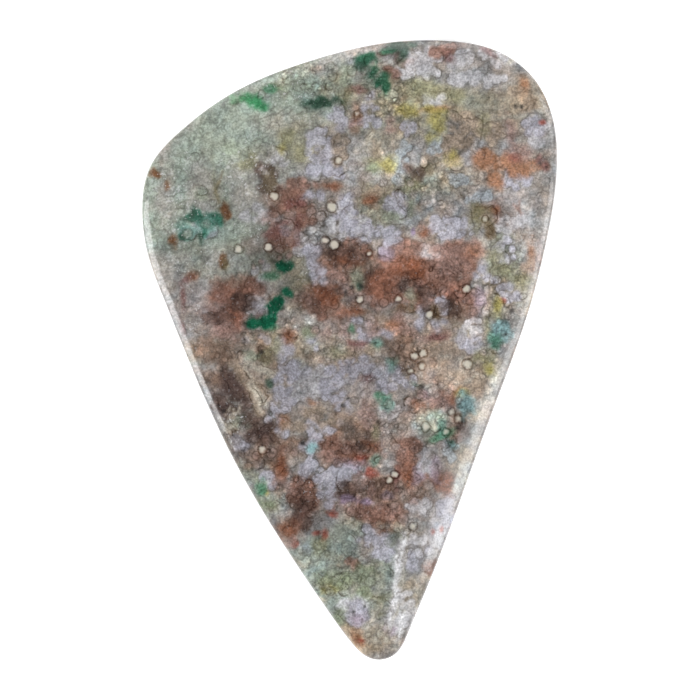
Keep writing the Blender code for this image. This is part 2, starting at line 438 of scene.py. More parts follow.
# Bodies of one mineral, cut out along whole bubbles, so their borders are scalloped: tone, strength, and
# the patches.
BODIES = [
    ("bright", 0.8, [
        (419, 60, 17, 11), (405, 74, 12, 8), (412, 70, 14, 9), (346, 212, 8, 12), (424, 466, 5, 9)]),
    ("pale", 0.75, [
        (497, 60, 16, 8, -20), (462, 62, 12, 8), (438, 100, 14, 7), (430, 74, 10, 6), (475, 80, 22, 7),
        (538, 138, 8, 14), (468, 156, 9, 9), (428, 253, 13, 6), (280, 158, 10, 8), (262, 270, 6, 7),
        (262, 215, 16, 9), (258, 308, 8, 9), (508, 225, 18, 10), (305, 248, 8, 12), (312, 385, 20, 18),
        (350, 222, 18, 8), (345, 232, 14, 8), (470, 340, 13, 14), (472, 327, 11, 10), (425, 545, 14, 10),
        (405, 552, 8, 12), (420, 508, 12, 8), (425, 470, 10, 14), (352, 605, 13, 10),
        (402, 610, 10, 22, -15), (425, 460, 8, 10), (387, 412, 12, 8), (440, 540, 14, 8)]),
    ("lavender", 0.8, [
        (346, 212, 12, 18), (372, 234, 26, 8, -4), (386, 250, 7, 11), (314, 198, 15, 6, 5),
        (340, 172, 11, 6, 5), (318, 166, 10, 10), (312, 258, 7, 13, 8), (318, 277, 9, 9), (284, 352, 9, 12),
        (289, 370, 13, 11), (280, 384, 10, 10), (282, 404, 12, 10), (340, 372, 11, 11), (354, 366, 9, 8),
        (341, 405, 8, 14), (318, 430, 14, 10), (313, 446, 9, 9), (506, 252, 9, 13), (507, 292, 9, 8),
        (484, 276, 6, 18, 85), (472, 345, 12, 9), (442, 303, 7, 8), (440, 326, 5, 6), (420, 316, 4, 9),
        (363, 327, 6, 11, 70), (370, 340, 10, 6), (381, 336, 8, 7), (368, 365, 7, 7), (390, 374, 16, 7, -18),
        (405, 382, 14, 5, -18), (388, 386, 8, 7), (330, 478, 16, 14), (326, 496, 8, 10), (348, 470, 10, 7),
        (310, 468, 14, 8), (372, 538, 16, 10, -35), (382, 550, 10, 8), (355, 612, 13, 13), (268, 478, 8, 9),
        (371, 106, 6, 10), (371, 122, 10, 9), (335, 117, 9, 7), (344, 125, 8, 7), (396, 204, 9, 9),
        (410, 562, 7, 12), (320, 148, 12, 16), (530, 128, 12, 8), (445, 228, 12, 10), (462, 228, 14, 9),
        (310, 345, 10, 7), (330, 388, 10, 8), (395, 240, 10, 8), (240, 440, 7, 8), (446, 508, 7, 14),
        (280, 425, 12, 7, -30), (405, 128, 7, 8), (515, 182, 18, 7), (320, 160, 10, 8)]),
    ("pale_blue", 0.75, [
        (404, 154, 9, 9), (400, 168, 6, 10), (436, 146, 8, 9), (478, 198, 12, 5), (313, 449, 8, 6),
        (452, 450, 8, 10), (455, 178, 8, 8), (205, 228, 10, 8), (190, 232, 7, 6)]),
    ("fawn", 0.85, [(462, 132, 16, 16), (453, 146, 10, 10), (493, 134, 10, 12), (341, 147, 9, 14)]),
    ("rose_brown", 0.8, [
        (293, 194, 11, 11), (302, 213, 13, 9, -30), (284, 211, 9, 6), (305, 186, 13, 5), (353, 250, 16, 8),
        (444, 53, 13, 7), (391, 71, 8, 7), (414, 270, 20, 10), (382, 292, 16, 13), (452, 274, 24, 14),
        (458, 252, 20, 8), (405, 250, 14, 8), (325, 300, 12, 9), (321, 314, 8, 8), (407, 464, 9, 16),
        (414, 449, 8, 7), (372, 511, 15, 8), (345, 450, 14, 9), (355, 562, 9, 5), (430, 565, 8, 7),
        (440, 480, 7, 14, 90), (330, 447, 12, 8), (303, 495, 12, 14), (256, 288, 9, 7)]),
    ("dark_brown", 0.68, [
        (230, 378, 12, 7, -55), (238, 392, 14, 9, -60), (248, 412, 16, 7, -62), (223, 404, 8, 8, 0),
        (349, 488, 11, 7), (384, 488, 20, 7), (452, 308, 11, 9), (350, 258, 14, 6), (336, 256, 6, 9),
        (370, 276, 4, 14), (270, 182, 8, 14), (264, 172, 9, 5), (372, 446, 10, 5), (306, 508, 12, 6),
        (333, 292, 8, 5), (424, 300, 7, 12), (262, 432, 12, 7), (395, 52, 8, 7), (392, 286, 8, 6),
        (258, 316, 4, 4), (265, 352, 8, 7), (222, 315, 12, 6), (243, 303, 10, 8), (417, 172, 10, 6),
        (300, 520, 8, 10)]),
]

# Stains that spread through the bubbles, and part of a painted highlight: tone, strength, softness of the
# border in pixels, and the patches.
STAINS_AND_RIDGE_HIGHLIGHT = [
    ("bark", 0.75, 3.0, [
        (478, 215, 6, 9), (488, 233, 5, 8), (486, 209, 8, 4), (404, 309, 10, 5), (436, 313, 5, 8)]),
    ("clay", 0.65, 4.5, [(384, 284, 14, 16), (402, 268, 20, 9), (410, 300, 10, 8)]),
    ("dusk", 0.7, 3.5, [
        (462, 428, 6, 8), (233, 386, 10, 18, -62), (224, 410, 10, 9), (262, 430, 10, 6, 20),
        (250, 437, 6, 5)]),
    ("rust", 0.75, 4.5, [
        (345, 262, 12, 6), (495, 213, 4, 8), (325, 292, 10, 6), (416, 269, 16, 8), (330, 297, 12, 8),
        (372, 199, 7, 8), (281, 468, 5, 16), (353, 310, 12, 5, 8), (418, 406, 10, 6), (444, 483, 8, 12, 20),
        (452, 399, 4, 8, 30), (362, 457, 10, 4), (288, 530, 10, 9), (193, 276, 5, 4), (332, 186, 9, 4),
        (355, 122, 4, 9), (425, 232, 6, 6), (373, 444, 8, 5), (290, 335, 7, 7), (408, 478, 5, 10),
        (385, 530, 8, 3)]),
    ("orange", 0.78, 4.0, [
        (489, 162, 16, 11), (504, 164, 22, 10), (518, 169, 21, 8), (495, 180, 8, 10), (524, 88, 5, 8),
        (313, 403, 6, 4), (458, 391, 6, 4), (284, 423, 6, 6), (359, 638, 6, 10), (436, 110, 12, 2, 5),
        (470, 252, 8, 5), (530, 255, 4, 14), (395, 325, 6, 4)]),
    ("red", 0.8, 2.5, [
        (332, 514, 5, 5), (323, 535, 4, 6), (297, 544, 4, 3.5), (370, 471, 7, 5), (363, 457, 6, 2.5),
        (542, 124, 3.5, 2.5), (315, 533, 5, 2.5), (514, 157, 6, 4), (433, 532, 2, 2.5), (441, 531, 2, 2.5),
        (362, 640, 3, 2), (502, 301, 3, 3)]),
    ("rose", 0.75, 4.0, [
        (448, 264, 20, 12), (372, 325, 8, 10), (400, 318, 6, 8), (426, 336, 12, 5), (226, 330, 12, 9),
        (452, 250, 22, 6), (470, 308, 6, 9), (437, 400, 10, 7), (391, 127, 6, 7), (510, 135, 5, 14),
        (325, 334, 8, 6), (403, 64, 6, 3), (366, 412, 7, 10), (520, 152, 14, 9), (268, 222, 8, 6),
        (372, 430, 6, 10), (357, 345, 8, 5), (290, 541, 9, 6), (455, 47, 10, 3), (526, 264, 9, 5, 70),
        (540, 255, 4, 12), (437, 335, 12, 5)]),
    ("umber", 0.85, 2.5, [
        (155, 175, 4.5, 5.5), (168, 187, 3, 3.5), (227, 211, 4.5, 8), (175, 242, 3.5, 6), (224, 262, 4, 6)]),
    ("maroon", 0.6, 3.0, [
        (540, 161, 4, 5), (545, 168, 3, 4), (183, 296, 13, 2.2, -88), (184, 325, 9, 2.2, -80),
        (288, 222, 12, 3, 20), (279, 234, 3, 11), (297, 232, 3, 11), (366, 378, 8, 4), (316, 533, 3, 2),
        (302, 205, 7, 5), (354, 92, 9, 4), (447, 57, 6, 5), (186, 281, 6, 3, 40), (272, 235, 6, 6),
        (437, 337, 10, 3), (358, 342, 9, 2), (396, 478, 3, 8), (290, 205, 6, 5), (486, 52, 7, 2.5, -35)]),
    ("lilac", 0.7, 3.0, [
        (478, 300, 7, 12), (386, 256, 6, 6), (356, 618, 10, 5), (285, 232, 4.5, 4.5), (387, 495, 7, 4),
        (423, 395, 6, 6), (417, 478, 5, 10), (437, 470, 6, 12), (390, 628, 6, 5), (350, 462, 12, 4)]),
    ("violet", 0.7, 2.0, [(350, 499, 11, 5, -8), (364, 502, 6, 3), (413, 233, 2, 4)]),
    ("olive_brown", 0.6, 3.5, [(486, 221, 8, 11), (270, 182, 8, 12), (430, 168, 8, 6)]),
    ("olive", 0.7, 4.5, [
        (298, 154, 9, 9), (502, 270, 14, 9, -30), (496, 255, 6, 10), (496, 313, 8, 9), (486, 327, 4, 9),
        (489, 362, 7, 10), (482, 125, 6, 9), (424, 90, 20, 9), (382, 606, 6, 9), (217, 188, 10, 1.6, 100),
        (476, 218, 7, 12), (265, 356, 8, 8), (330, 584, 10, 6), (321, 547, 8, 9), (374, 160, 8, 6),
        (288, 140, 9, 8), (382, 597, 10, 4), (345, 98, 6, 8), (452, 96, 10, 8), (226, 265, 3, 5),
        (375, 432, 4, 7), (480, 360, 7, 7), (412, 186, 10, 6), (335, 352, 12, 4), (250, 160, 12, 8, 30),
        (520, 282, 10, 8), (276, 348, 5, 12)]),
    ("yellow", 0.75, 4.0, [
        (437, 121, 10, 13), (438, 118, 6, 8), (406, 112, 9, 7), (432, 138, 7, 5), (388, 164, 8, 8),
        (283, 149, 4, 4), (430, 110, 7, 4), (490, 369, 4, 5), (268, 493, 2.5, 2.5), (497, 305, 5, 6),
        (452, 160, 6, 6), (330, 588, 7, 4), (461, 392, 6, 4)]),
    ("pale_green", 0.7, 3.5, [
        (343, 82, 6, 6), (347, 72, 10, 6), (300, 88, 12, 8), (357, 276, 8, 8), (393, 219, 9, 4),
        (410, 208, 4, 8), (357, 279, 8, 9), (233, 148, 8, 7), (203, 196, 7, 6), (410, 296, 5, 9),
        (440, 415, 7, 5), (375, 345, 5, 5), (250, 355, 8, 6)]),
    ("moss", 0.7, 4.0, [
        (363, 575, 12, 12), (276, 88, 8, 4), (242, 99, 9, 6), (268, 504, 8, 4), (345, 580, 12, 8),
        (340, 618, 7, 8), (372, 168, 6, 5), (308, 334, 8, 5), (330, 575, 14, 6), (365, 590, 8, 8)]),
    ("green", 0.85, 3.0, [
        (262, 106, 6, 4), (272, 276, 7, 4), (260, 490, 5, 9), (379, 396, 6, 4), (495, 341, 5, 6),
        (440, 436, 4, 12, 110), (386, 52, 5, 4), (270, 89, 6, 4), (268, 326, 8, 4), (352, 330, 3, 5)]),
    ("leaf", 0.9, 3.5, [(249, 100, 13, 7, -10), (258, 106, 6, 5)]),
    ("sea_green", 0.85, 2.5, [
        (199, 217, 8, 6, 20), (204, 232, 3, 7), (218, 218, 5, 6), (212, 222, 3, 3), (184, 237, 3, 3)]),
    ("teal", 0.7, 3.0, [
        (190, 232, 12, 9), (206, 224, 12, 8), (495, 338, 9, 9), (387, 403, 6, 7), (376, 342, 5, 4),
        (441, 430, 5, 9), (392, 365, 5, 6), (415, 384, 6, 3), (375, 458, 6, 5)]),
    ("cyan", 0.9, 2.5, [
        (501, 327, 11, 6), (464, 405, 14, 8, -72), (464, 404, 10, 6, -72), (313, 449, 5, 4),
        (452, 447, 5, 4), (507, 334, 5, 7)]),
    ("pine", 0.85, 3.0, [
        (373, 74, 6, 11), (378, 83, 8, 7), (367, 62, 12, 6), (385, 86, 6, 9), (318, 104, 9, 4),
        (392, 52, 5, 4)]),
    ("emerald", 0.95, 2.0, [
        (283, 267, 8, 6), (286, 294, 6, 5, 45), (275, 307, 11, 7, 60), (266, 320, 11, 7, 15),
        (256, 324, 7, 5)]),
    ("dark_green", 0.8, 3.0, [
        (320, 104, 14, 5, 6), (336, 101, 6, 3), (397, 48, 12, 6), (401, 58, 5, 7), (413, 44, 5, 4),
        (270, 383, 3, 5), (361, 286, 3.2, 3.2), (194, 213, 2.5, 7), (190, 221, 6, 2), (184, 237, 3, 3),
        (360, 68, 6, 4), (450, 443, 4, 2), (186, 234, 2, 5), (200, 238, 2, 5)]),
    ("tan", 0.7, 2.5, [
        (252, 391, 20, 3, -62), (261, 390, 14, 5, -64), (258, 408, 9, 4, -60), (316, 412, 15, 9),
        (295, 426, 15, 6), (269, 371, 8, 4, -30), (515, 92, 16, 5), (528, 104, 8, 10), (526, 264, 9, 5, 70),
        (480, 384, 8, 13), (240, 372, 16, 4, -58), (325, 423, 10, 5), (372, 192, 12, 5), (352, 355, 10, 3),
        (370, 350, 6, 6)]),
    # In the cream patches, the two long narrow ones at (401, 572) and (394, 612) are painted highlight: the
    # reflection along the ridge of the flank.
    ("cream", 0.75, 2.0, [
        (376, 612, 10, 3.2, 62), (467, 364, 6, 5, -25), (269, 371, 5, 2.5, -30), (401, 572, 3, 26, -10),
        (394, 612, 3.5, 24, -18), (255, 366, 8, 3, -40), (510, 62, 7, 2.5, 20), (515, 118, 14, 2, 6)]),
]

# Single bubbles: tone, strength of the disc, strength of its dark rim, and the places (x, y, radius).
ORBS = [
    ("pink", 0.8, 0.28, [
        (325, 241, 4), (334.5, 245.5, 5), (269, 248, 5), (290, 256, 4), (369, 254, 2.5), (466, 289.5, 4),
        (473.5, 291, 3.6), (414, 356, 3.4), (262, 262, 3), (254, 268, 3), (401, 433, 3), (280, 259, 3)]),
    ("pink_grey", 0.6, 0.22, [
        (383, 184, 5), (400.5, 184, 5), (410, 184.5, 4.5), (366, 177, 6), (413, 195, 5), (425, 201, 6),
        (356, 193, 6), (338, 197, 6), (290, 217, 6), (298, 235, 6), (322, 216, 8), (313, 213, 6),
        (437, 207, 5), (447, 214, 5), (405, 205, 4), (352, 167, 6), (388, 462, 7), (372, 386, 5),
        (365, 394, 5.5), (396, 415, 8), (410, 400, 5), (355, 400, 5), (402, 405, 5), (413, 415, 5),
        (385, 425, 5), (412, 382, 4), (402, 428, 6), (386, 440, 6), (396, 446, 5), (432, 375, 4),
        (440, 386, 4), (448, 392, 5), (433, 393, 6), (393, 354, 4), (402, 364, 4), (460, 340, 5),
        (482, 353, 4), (478, 364, 4), (476, 373, 3), (455, 330, 4), (448, 326, 4), (512, 308, 5),
        (509, 315, 5), (520, 312, 5), (372, 320, 5), (368, 328, 5), (345, 325, 6), (335, 330, 5),
        (255, 438, 5), (236, 440, 6), (243, 430, 5), (281, 434, 5), (430, 455, 6), (436, 466, 5),
        (428, 484, 6), (440, 445, 6)]),
    ("rose", 0.6, 0.26, [
        (390, 516, 6), (403, 518, 6.5), (371, 490, 6), (360, 512, 5), (367, 514, 4), (395, 506, 6),
        (347, 450, 5.5), (360, 453, 4), (401, 453, 6.5), (414, 448, 5.5), (417, 456, 4.5), (404, 330, 7),
        (350, 268, 6), (333, 275, 7), (343, 278, 5), (287, 232, 4), (412, 490, 6), (413, 500, 6),
        (380, 505, 5), (386, 497, 5), (351, 510, 6), (422, 395, 6), (373, 415, 5), (366, 425, 5),
        (458, 438, 5), (384, 303, 5), (372, 300, 5), (396, 290, 5), (330, 455, 6), (320, 452, 6),
        (338, 462, 5), (377, 470, 4), (290, 242, 6), (280, 250, 5), (325, 264, 5), (300, 480, 6),
        (292, 490, 5), (310, 496, 5), (304, 508, 5), (356, 478, 5), (364, 482, 5), (424, 300, 5),
        (416, 305, 4), (442, 290, 5), (430, 275, 6), (466, 300, 5), (473, 312, 5), (266, 440, 6),
        (272, 452, 6), (286, 450, 5), (295, 452, 4), (257, 455, 5), (330, 285, 6), (345, 290, 6),
        (315, 330, 5)]),
    ("grey_green", 0.5, 0.24, [
        (365, 72, 4.5), (375, 79, 4.5), (370, 86, 6), (330, 68, 5), (333, 78, 5), (300, 86, 7),
        (338, 104, 4), (390, 541, 6), (380, 524, 5), (262, 96, 5), (290, 80, 6), (310, 95, 6), (352, 72, 6),
        (340, 92, 5), (370, 580, 6), (355, 572, 6), (345, 588, 6), (330, 590, 5), (388, 594, 6),
        (375, 605, 5), (320, 565, 6), (335, 572, 8), (348, 548, 8), (340, 535, 7), (325, 555, 6),
        (387, 403, 5.5), (376, 457, 5)]),
    ("sage", 0.8, 0.28, [
        (206, 224, 5.5), (189, 234, 5), (245, 157, 5.5), (203, 192, 5.5), (213, 204, 4), (196, 158, 5)]),
    ("lavender", 0.5, 0.12, [
        (340, 372, 8), (353, 367, 7.5), (369, 364, 6), (386, 386, 6), (343, 392, 5), (333, 382, 6),
        (350, 380, 5), (334, 400, 6), (350, 410, 5), (340, 422, 5), (328, 430, 7), (288, 362, 7),
        (294, 374, 7), (282, 376, 6), (306, 372, 6), (410, 567, 6), (418, 556, 6), (412, 545, 6),
        (428, 548, 6), (440, 303, 6), (438, 332, 4), (268, 340, 6), (246, 340, 5), (262, 336, 4),
        (376, 552, 6), (390, 552, 6), (360, 608, 7), (350, 602, 6), (486, 290, 6), (482, 266, 6),
        (500, 248, 6), (508, 260, 6), (262, 310, 5), (256, 305, 5), (298, 364, 5)]),
]

# The clearest bubbles are cream, and the material draws them: x, y, radius.
CREAM_ORBS = [
    (338.4, 162, 3), (274.5, 197, 3.6), (359.5, 299.7, 3), (429.5, 314.5, 3.4), (422.6, 353, 3.3),
    (421.4, 366, 2.8), (450.9, 412, 3.6), (457.9, 418.7, 4), (445.9, 431.6, 3.4), (425.2, 426.4, 3.6),
    (455.8, 448.9, 3.2), (262.6, 449, 3.8), (389.3, 479.6, 2.8), (394.9, 473.7, 3), (413.1, 525.5, 3.6),
    (484.5, 219.7, 2.2), (239, 250, 3.4), (233.7, 409, 2.5), (467, 364, 4.4), (357, 115, 2),
    (332, 207.5, 4.4), (397.5, 299.5, 2.6), (410.2, 371, 2), (334.5, 245.5, 4.5), (269, 248, 3.4),
    (325, 241, 3.2), (369, 254, 2.2), (466, 289.5, 3.4), (414, 356, 3)]

# Fine seams: darkness, and the corners of each line.
SEAMS = [
    (0.62, [
        [(455, 113), (462, 117), (470, 121), (478, 118), (484, 112)],
        [(458, 157), (459, 151), (466, 148), (473, 150), (476, 154)],
        [(482, 118), (483, 126), (480, 133), (482, 140), (478, 146), (481, 151)],
        [(477, 149), (473, 144), (477, 141), (480, 145)],
        [(487, 130), (488, 124), (494, 122), (499, 125), (501, 131), (505, 134)],
        [(338, 225), (342, 214), (350, 206), (352, 196)],
        [(318, 230), (328, 236), (334, 241), (346, 240), (360, 239), (366, 242)],
        [(300, 224), (306, 234), (318, 236)], [(302, 296), (306, 296), (303, 304), (296, 308), (290, 312)],
        [(402, 288), (410, 284), (418, 287), (426, 286), (432, 282)], [(421, 272), (420, 281), (426, 286)],
        [(424, 270), (432, 267), (438, 271)], [(437, 281), (441, 273), (448, 270), (453, 276)],
        [(434, 284), (437, 292), (435, 300)], [(414, 290), (424, 298), (422, 308), (426, 320), (436, 318)],
        [(430, 232), (438, 236), (440, 244)], [(475, 232), (471, 222), (470, 212)],
        [(489, 258), (492, 268), (491, 284), (487, 294)], [(505, 298), (512, 306), (520, 311), (513, 319)],
        [(445, 262), (450, 256), (458, 258), (462, 266)], [(456, 268), (462, 274), (468, 272)],
        [(445, 292), (452, 288), (460, 292)], [(190, 316), (196, 322), (193, 330), (200, 334)],
        [(186, 305), (192, 306), (196, 314)], [(232, 213), (242, 218), (241, 228), (233, 231)],
        [(284, 224), (278, 234), (283, 244), (293, 243)], [(314, 467), (315, 474), (319, 478)],
        [(324, 484), (328, 482)], [(310, 560), (314, 569), (322, 575), (325, 586)],
        [(322, 586), (327, 591), (333, 586), (340, 588)], [(350, 532), (356, 543), (352, 552)],
        [(388, 560), (393, 570), (392, 578)], [(368, 600), (374, 595), (380, 597), (386, 602), (391, 604)],
        [(384, 597), (391, 590), (389, 583)], [(362, 570), (360, 580), (361, 588)], [(378, 647), (379, 654)],
        [(401, 528), (404, 535), (401, 540)], [(404, 550), (408, 556), (412, 550)],
        [(434, 500), (438, 508), (442, 516)], [(369, 260), (372, 272), (368, 282), (371, 294)],
        [(346, 300), (355, 304), (365, 302), (372, 295)], [(276, 148), (287, 152), (290, 162)],
        [(369, 344), (378, 348), (386, 343), (392, 350)], [(401, 344), (399, 356), (402, 368), (398, 374)],
        [(386, 426), (392, 432), (390, 440)], [(244, 168), (252, 160), (250, 148), (262, 140)],
        [(396, 208), (404, 212), (412, 206)], [(382, 213), (378, 222), (388, 226), (400, 225)],
        [(445, 236), (452, 230), (450, 224)], [(360, 212), (362, 222), (368, 226)],
        [(480, 262), (478, 270), (484, 276)], [(256, 470), (264, 466), (262, 458)],
        [(276, 500), (282, 504), (286, 500)], [(398, 428), (404, 432), (408, 428)]]),
    (0.8, [
        [(238, 376), (247, 391), (253, 406), (261, 418)], [(244, 370), (252, 384), (259, 395), (266, 408)],
        [(222, 372), (230, 386), (238, 400)], [(232, 396), (228, 410), (233, 421)],
        [(254, 360), (262, 366), (272, 368), (277, 376)], [(216, 398), (222, 408), (230, 414), (240, 416)],
        [(252, 378), (258, 384), (264, 382), (268, 390)], [(262, 404), (267, 396), (264, 388)],
        [(476, 208), (484, 206), (492, 208), (497, 214), (495, 221), (488, 226), (492, 232), (488, 239),
         (483, 236), (479, 229)],
        [(434, 284), (438, 292), (435, 302)], [(402, 310), (412, 314), (420, 308)],
        [(340, 470), (336, 482), (340, 494)], [(455, 292), (462, 286), (470, 286), (478, 290)],
        [(456, 300), (462, 308), (458, 318)], [(184, 236), (187, 241), (194, 240), (196, 234)],
        [(424, 300), (421, 312), (426, 322)], [(434, 308), (437, 316)], [(333, 176), (340, 178), (347, 174)],
        [(344, 300), (350, 308), (358, 310)], [(306, 504), (314, 510), (318, 500)],
        [(446, 440), (450, 446), (444, 448)], [(284, 218), (292, 220), (299, 227)], [(240, 156), (242, 163)],
        [(248, 152), (250, 158)]]),
]

# Pale veins and dark veins, and a painted highlight: tone, strength, half width in pixels, and the corners of
# each line.
VEINS_AND_RIDGE_HIGHLIGHT = [
    # The bright and white lines are a painted highlight: the reflection along the ridge of the flank, near
    # the pointed end.
    ("bright", 0.95, 4.0, [[(401, 548), (399, 562), (397, 574)], [(397, 588), (393, 606), (389, 622)]]),
    ("white", 1.0, 2.8, [
        [(404, 532), (401, 545), (398, 560), (396, 578), (395, 592)], [(396, 600), (392, 612), (390, 622)],
        [(405, 610), (402, 622), (398, 636)]]),
    ("cream", 0.75, 2.2, [
        [(243, 366), (250, 377), (256, 389), (262, 403)], [(249, 382), (257, 397), (262, 410)],
        [(258, 363), (268, 370), (275, 373)], [(262, 369), (271, 377)], [(226, 414), (232, 408), (236, 412)],
        [(220, 418), (226, 424)], [(248, 383), (253, 394), (258, 408)], [(256, 384), (262, 396), (266, 404)],
        [(244, 362), (252, 366), (262, 372)], [(379, 606), (375, 614), (371, 622)], [(239, 412), (242, 405)],
        [(230, 420), (235, 412)], [(225, 431), (232, 424)]]),
    ("tan", 0.7, 3.2, [
        [(238, 370), (246, 384), (252, 398), (258, 412)], [(232, 362), (240, 368)],
        [(262, 384), (268, 396)]]),
    ("dark_brown", 0.55, 4.0, [
        [(222, 364), (229, 378), (238, 392), (246, 406), (252, 420)], [(213, 392), (220, 404), (228, 418)],
        [(250, 418), (258, 430), (262, 442)]]),
    ("olive_brown", 0.75, 1.8, [[(222, 173), (218, 182), (216, 192), (218, 202)]]),
    ("rose", 0.7, 1.2, [[(512, 206), (517, 212), (522, 214)], [(519, 202), (516, 210), (519, 216)]]),
]

# Where the stone is smooth, with faint outlines, and the field where the pattern itself is calm.
# The first three smooth patches run along the right edge, under the painted reflection there.
CALM_FIELD = (215, 170, 95, 120)
SMOOTH_AND_EDGE_REFLECTION = [
    (486, 400, 60, 11, 70), (456, 484, 52, 10, 70), (438, 536, 30, 9, 70), (250, 190, 26, 40),
    (470, 84, 24, 10)]

# Where small bubbles crowd, and where pale specks crowd, which are partly painted glints.
FROTH = [
    (410, 345, 36, 24), (345, 265, 30, 26), (240, 345, 24, 30), (290, 325, 30, 26), (255, 440, 34, 30),
    (440, 290, 44, 30), (385, 440, 60, 30), (300, 490, 26, 34), (330, 575, 34, 30), (385, 500, 44, 36),
    (300, 215, 36, 34), (430, 410, 40, 40), (485, 360, 24, 36), (430, 190, 50, 26), (505, 300, 22, 40),
    (345, 352, 36, 18), (310, 80, 40, 24), (380, 100, 40, 26)]
SPECKLES_AND_GLINTS = [
    (192, 159, 8, 12), (182, 222, 26, 14), (180, 205, 24, 12), (200, 205, 16, 14), (230, 197, 14, 8),
    (308, 121, 16, 6), (290, 90, 26, 20), (352, 235, 12, 8), (470, 80, 20, 8), (192, 316, 12, 28),
    (196, 262, 30, 16), (236, 418, 16, 16), (420, 60, 12, 12), (372, 540, 14, 10), (356, 604, 14, 12),
    (320, 482, 16, 14), (250, 228, 18, 12), (310, 262, 8, 22), (170, 190, 24, 30), (515, 230, 16, 20),
    (250, 170, 30, 34), (388, 376, 24, 8)]

# Layers of small bubbles: name of the outline, spacing in pixels, seed, and the share that is kept.
BUBBLE_LAYERS = (("large_bubbles", 13.0, 201, 0.5), ("bubbles", 9.0, 211, 0.55),
                 ("small_bubbles", 6.2, 221, 0.45))
BUBBLE_RADII = (0.32, 0.62)

# The bubbles that bodies are cut along, which bodies are dark, and how dark the rims of both kinds are.
BODY_SPACING = 6.5
BODY_RADII = (0.5, 0.95)
DARK_BODIES = ("rose_brown", "dark_brown", "fawn")
BODY_RIMS = {"pale_bodies": 0.62, "dark_bodies": 0.6}

# Cracks that wind everywhere: name of the outline, width of their loops in pixels, seed and darkness.
CRACKS = (("cracks", 11, 261, 0.38), ("long_cracks", 17, 441, 0.42))

# Dots of dark mineral: x, y, radius.
INK_DOTS = [
    (421.7, 386, 2), (364, 605.6, 1.6), (353.5, 611, 1.6), (361, 286.5, 2.8), (515, 107.5, 2.8),
    (521, 108, 2.2), (505, 334, 1.8), (501, 331, 1.2), (303, 442, 3), (511, 311, 2.2), (377, 329, 1.8),
    (416, 384, 1.2), (302, 443, 2.4), (262, 352, 2.4), (258, 356, 1.6), (343, 405, 3), (348, 398, 2),
    (288, 379, 2), (224, 411, 3), (219, 405, 2), (539, 164, 2), (545, 168, 2), (352, 288, 2.4),
    (346, 293, 2.4), (376, 343, 1.4)]


def in_patches(places, patches, soft, rough):
    """How far each place is in any of the patches, 0 to 1."""
    held = np.zeros(len(places))
    for patch in patches:
        small = min(1.0, min(patch[2], patch[3]) / 6)
        held = np.maximum(held, inside(places, patch, soft * (0.5 + 0.7 * small), rough * small))
    return held


def from_line(places, corners):
    """Distance from each place to a line through the corners, below 0 on one side of it."""
    nearest_yet = np.full(len(places), FAR)
    for start, end in zip(np.array(corners[:-1], float), np.array(corners[1:], float)):
        step = end - start
        away = places - start - np.outer(np.clip((places - start) @ step / (step @ step), 0, 1), step)
        far = np.hypot(away[:, 0], away[:, 1])
        signed = np.where(step[0] * away[:, 1] < step[1] * away[:, 0], -far, far)
        nearest_yet = np.where(far < np.abs(nearest_yet), signed, nearest_yet)
    return nearest_yet


def toned(colour, tone, amount):
    """The colour moved towards a named tone."""
    return colour + (np.array(TONES[tone]) - colour) * amount[:, None]


def lay_ground_and_edge_reflection(places, colour, calm):
    """The soft patches under everything, with a pale painted reflection along the right edge, and random
    clouds of lighter and darker tone and of warmth.
    """
    moved = wander(places, 7.0, 18, 61)
    fray = cloud(places, 9, 71, 4)
    for tone, strength, soft, patches in GROUND_AND_EDGE_REFLECTION:
        colour = toned(colour, tone, strength * in_patches(moved, patches, soft * 0.8, 7.0 * fray))
    colour = colour * (1 + 0.15 * (1 - 0.5 * calm) * cloud(places, 22, 85, 3))[:, None]
    warmth = cloud(places, 13, 87, 3) * (1 - 0.6 * calm)
    return colour * (1 + np.outer(warmth, [0.07, 0.0, -0.07]))


def lay_bubbles(places, shaken, colour, calm, outlines):
    """Small bubbles, a little paler than what they lie in, each in a dark rim with gaps."""
    crowded = 0.5 + 0.5 * in_patches(places, FROTH, 14, 0)
    for name, spacing, seed, share in BUBBLE_LAYERS:
        scattered = scatter(spacing, seed, BUBBLE_RADII)
        chance = share + 0.3 * cloud(scattered[0].reshape(-1, 2), 22, 231, 2)
        out, gap, dice = bubbles(shaken, spacing, scattered, chance)
        disc = (1 - smooth_step(-2.2, 1.0, out)) * crowded * (1 - 0.5 * calm)
        broken = smooth_step(-0.5, 0.7, cloud(places, 9, seed + 1, 2)) * crowded * (1 - 0.3 * calm)
        rim = (0.2 + 0.8 * dice[:, 1] ** 2) * broken
        outlines[name] = (np.minimum(-out, gap + 0.5), rim)
        tint = 0.97 + 0.24 * dice[:, 1:2] + np.outer(dice[:, 2] - 0.5, [0.08, 0.0, -0.03])
        colour = colour * (1 + (tint - 1) * disc[:, None])
        colour = colour * (1 - (0.16 * rim * np.exp(-((out - 0.7) / 2.0) ** 2)))[:, None]
    return colour


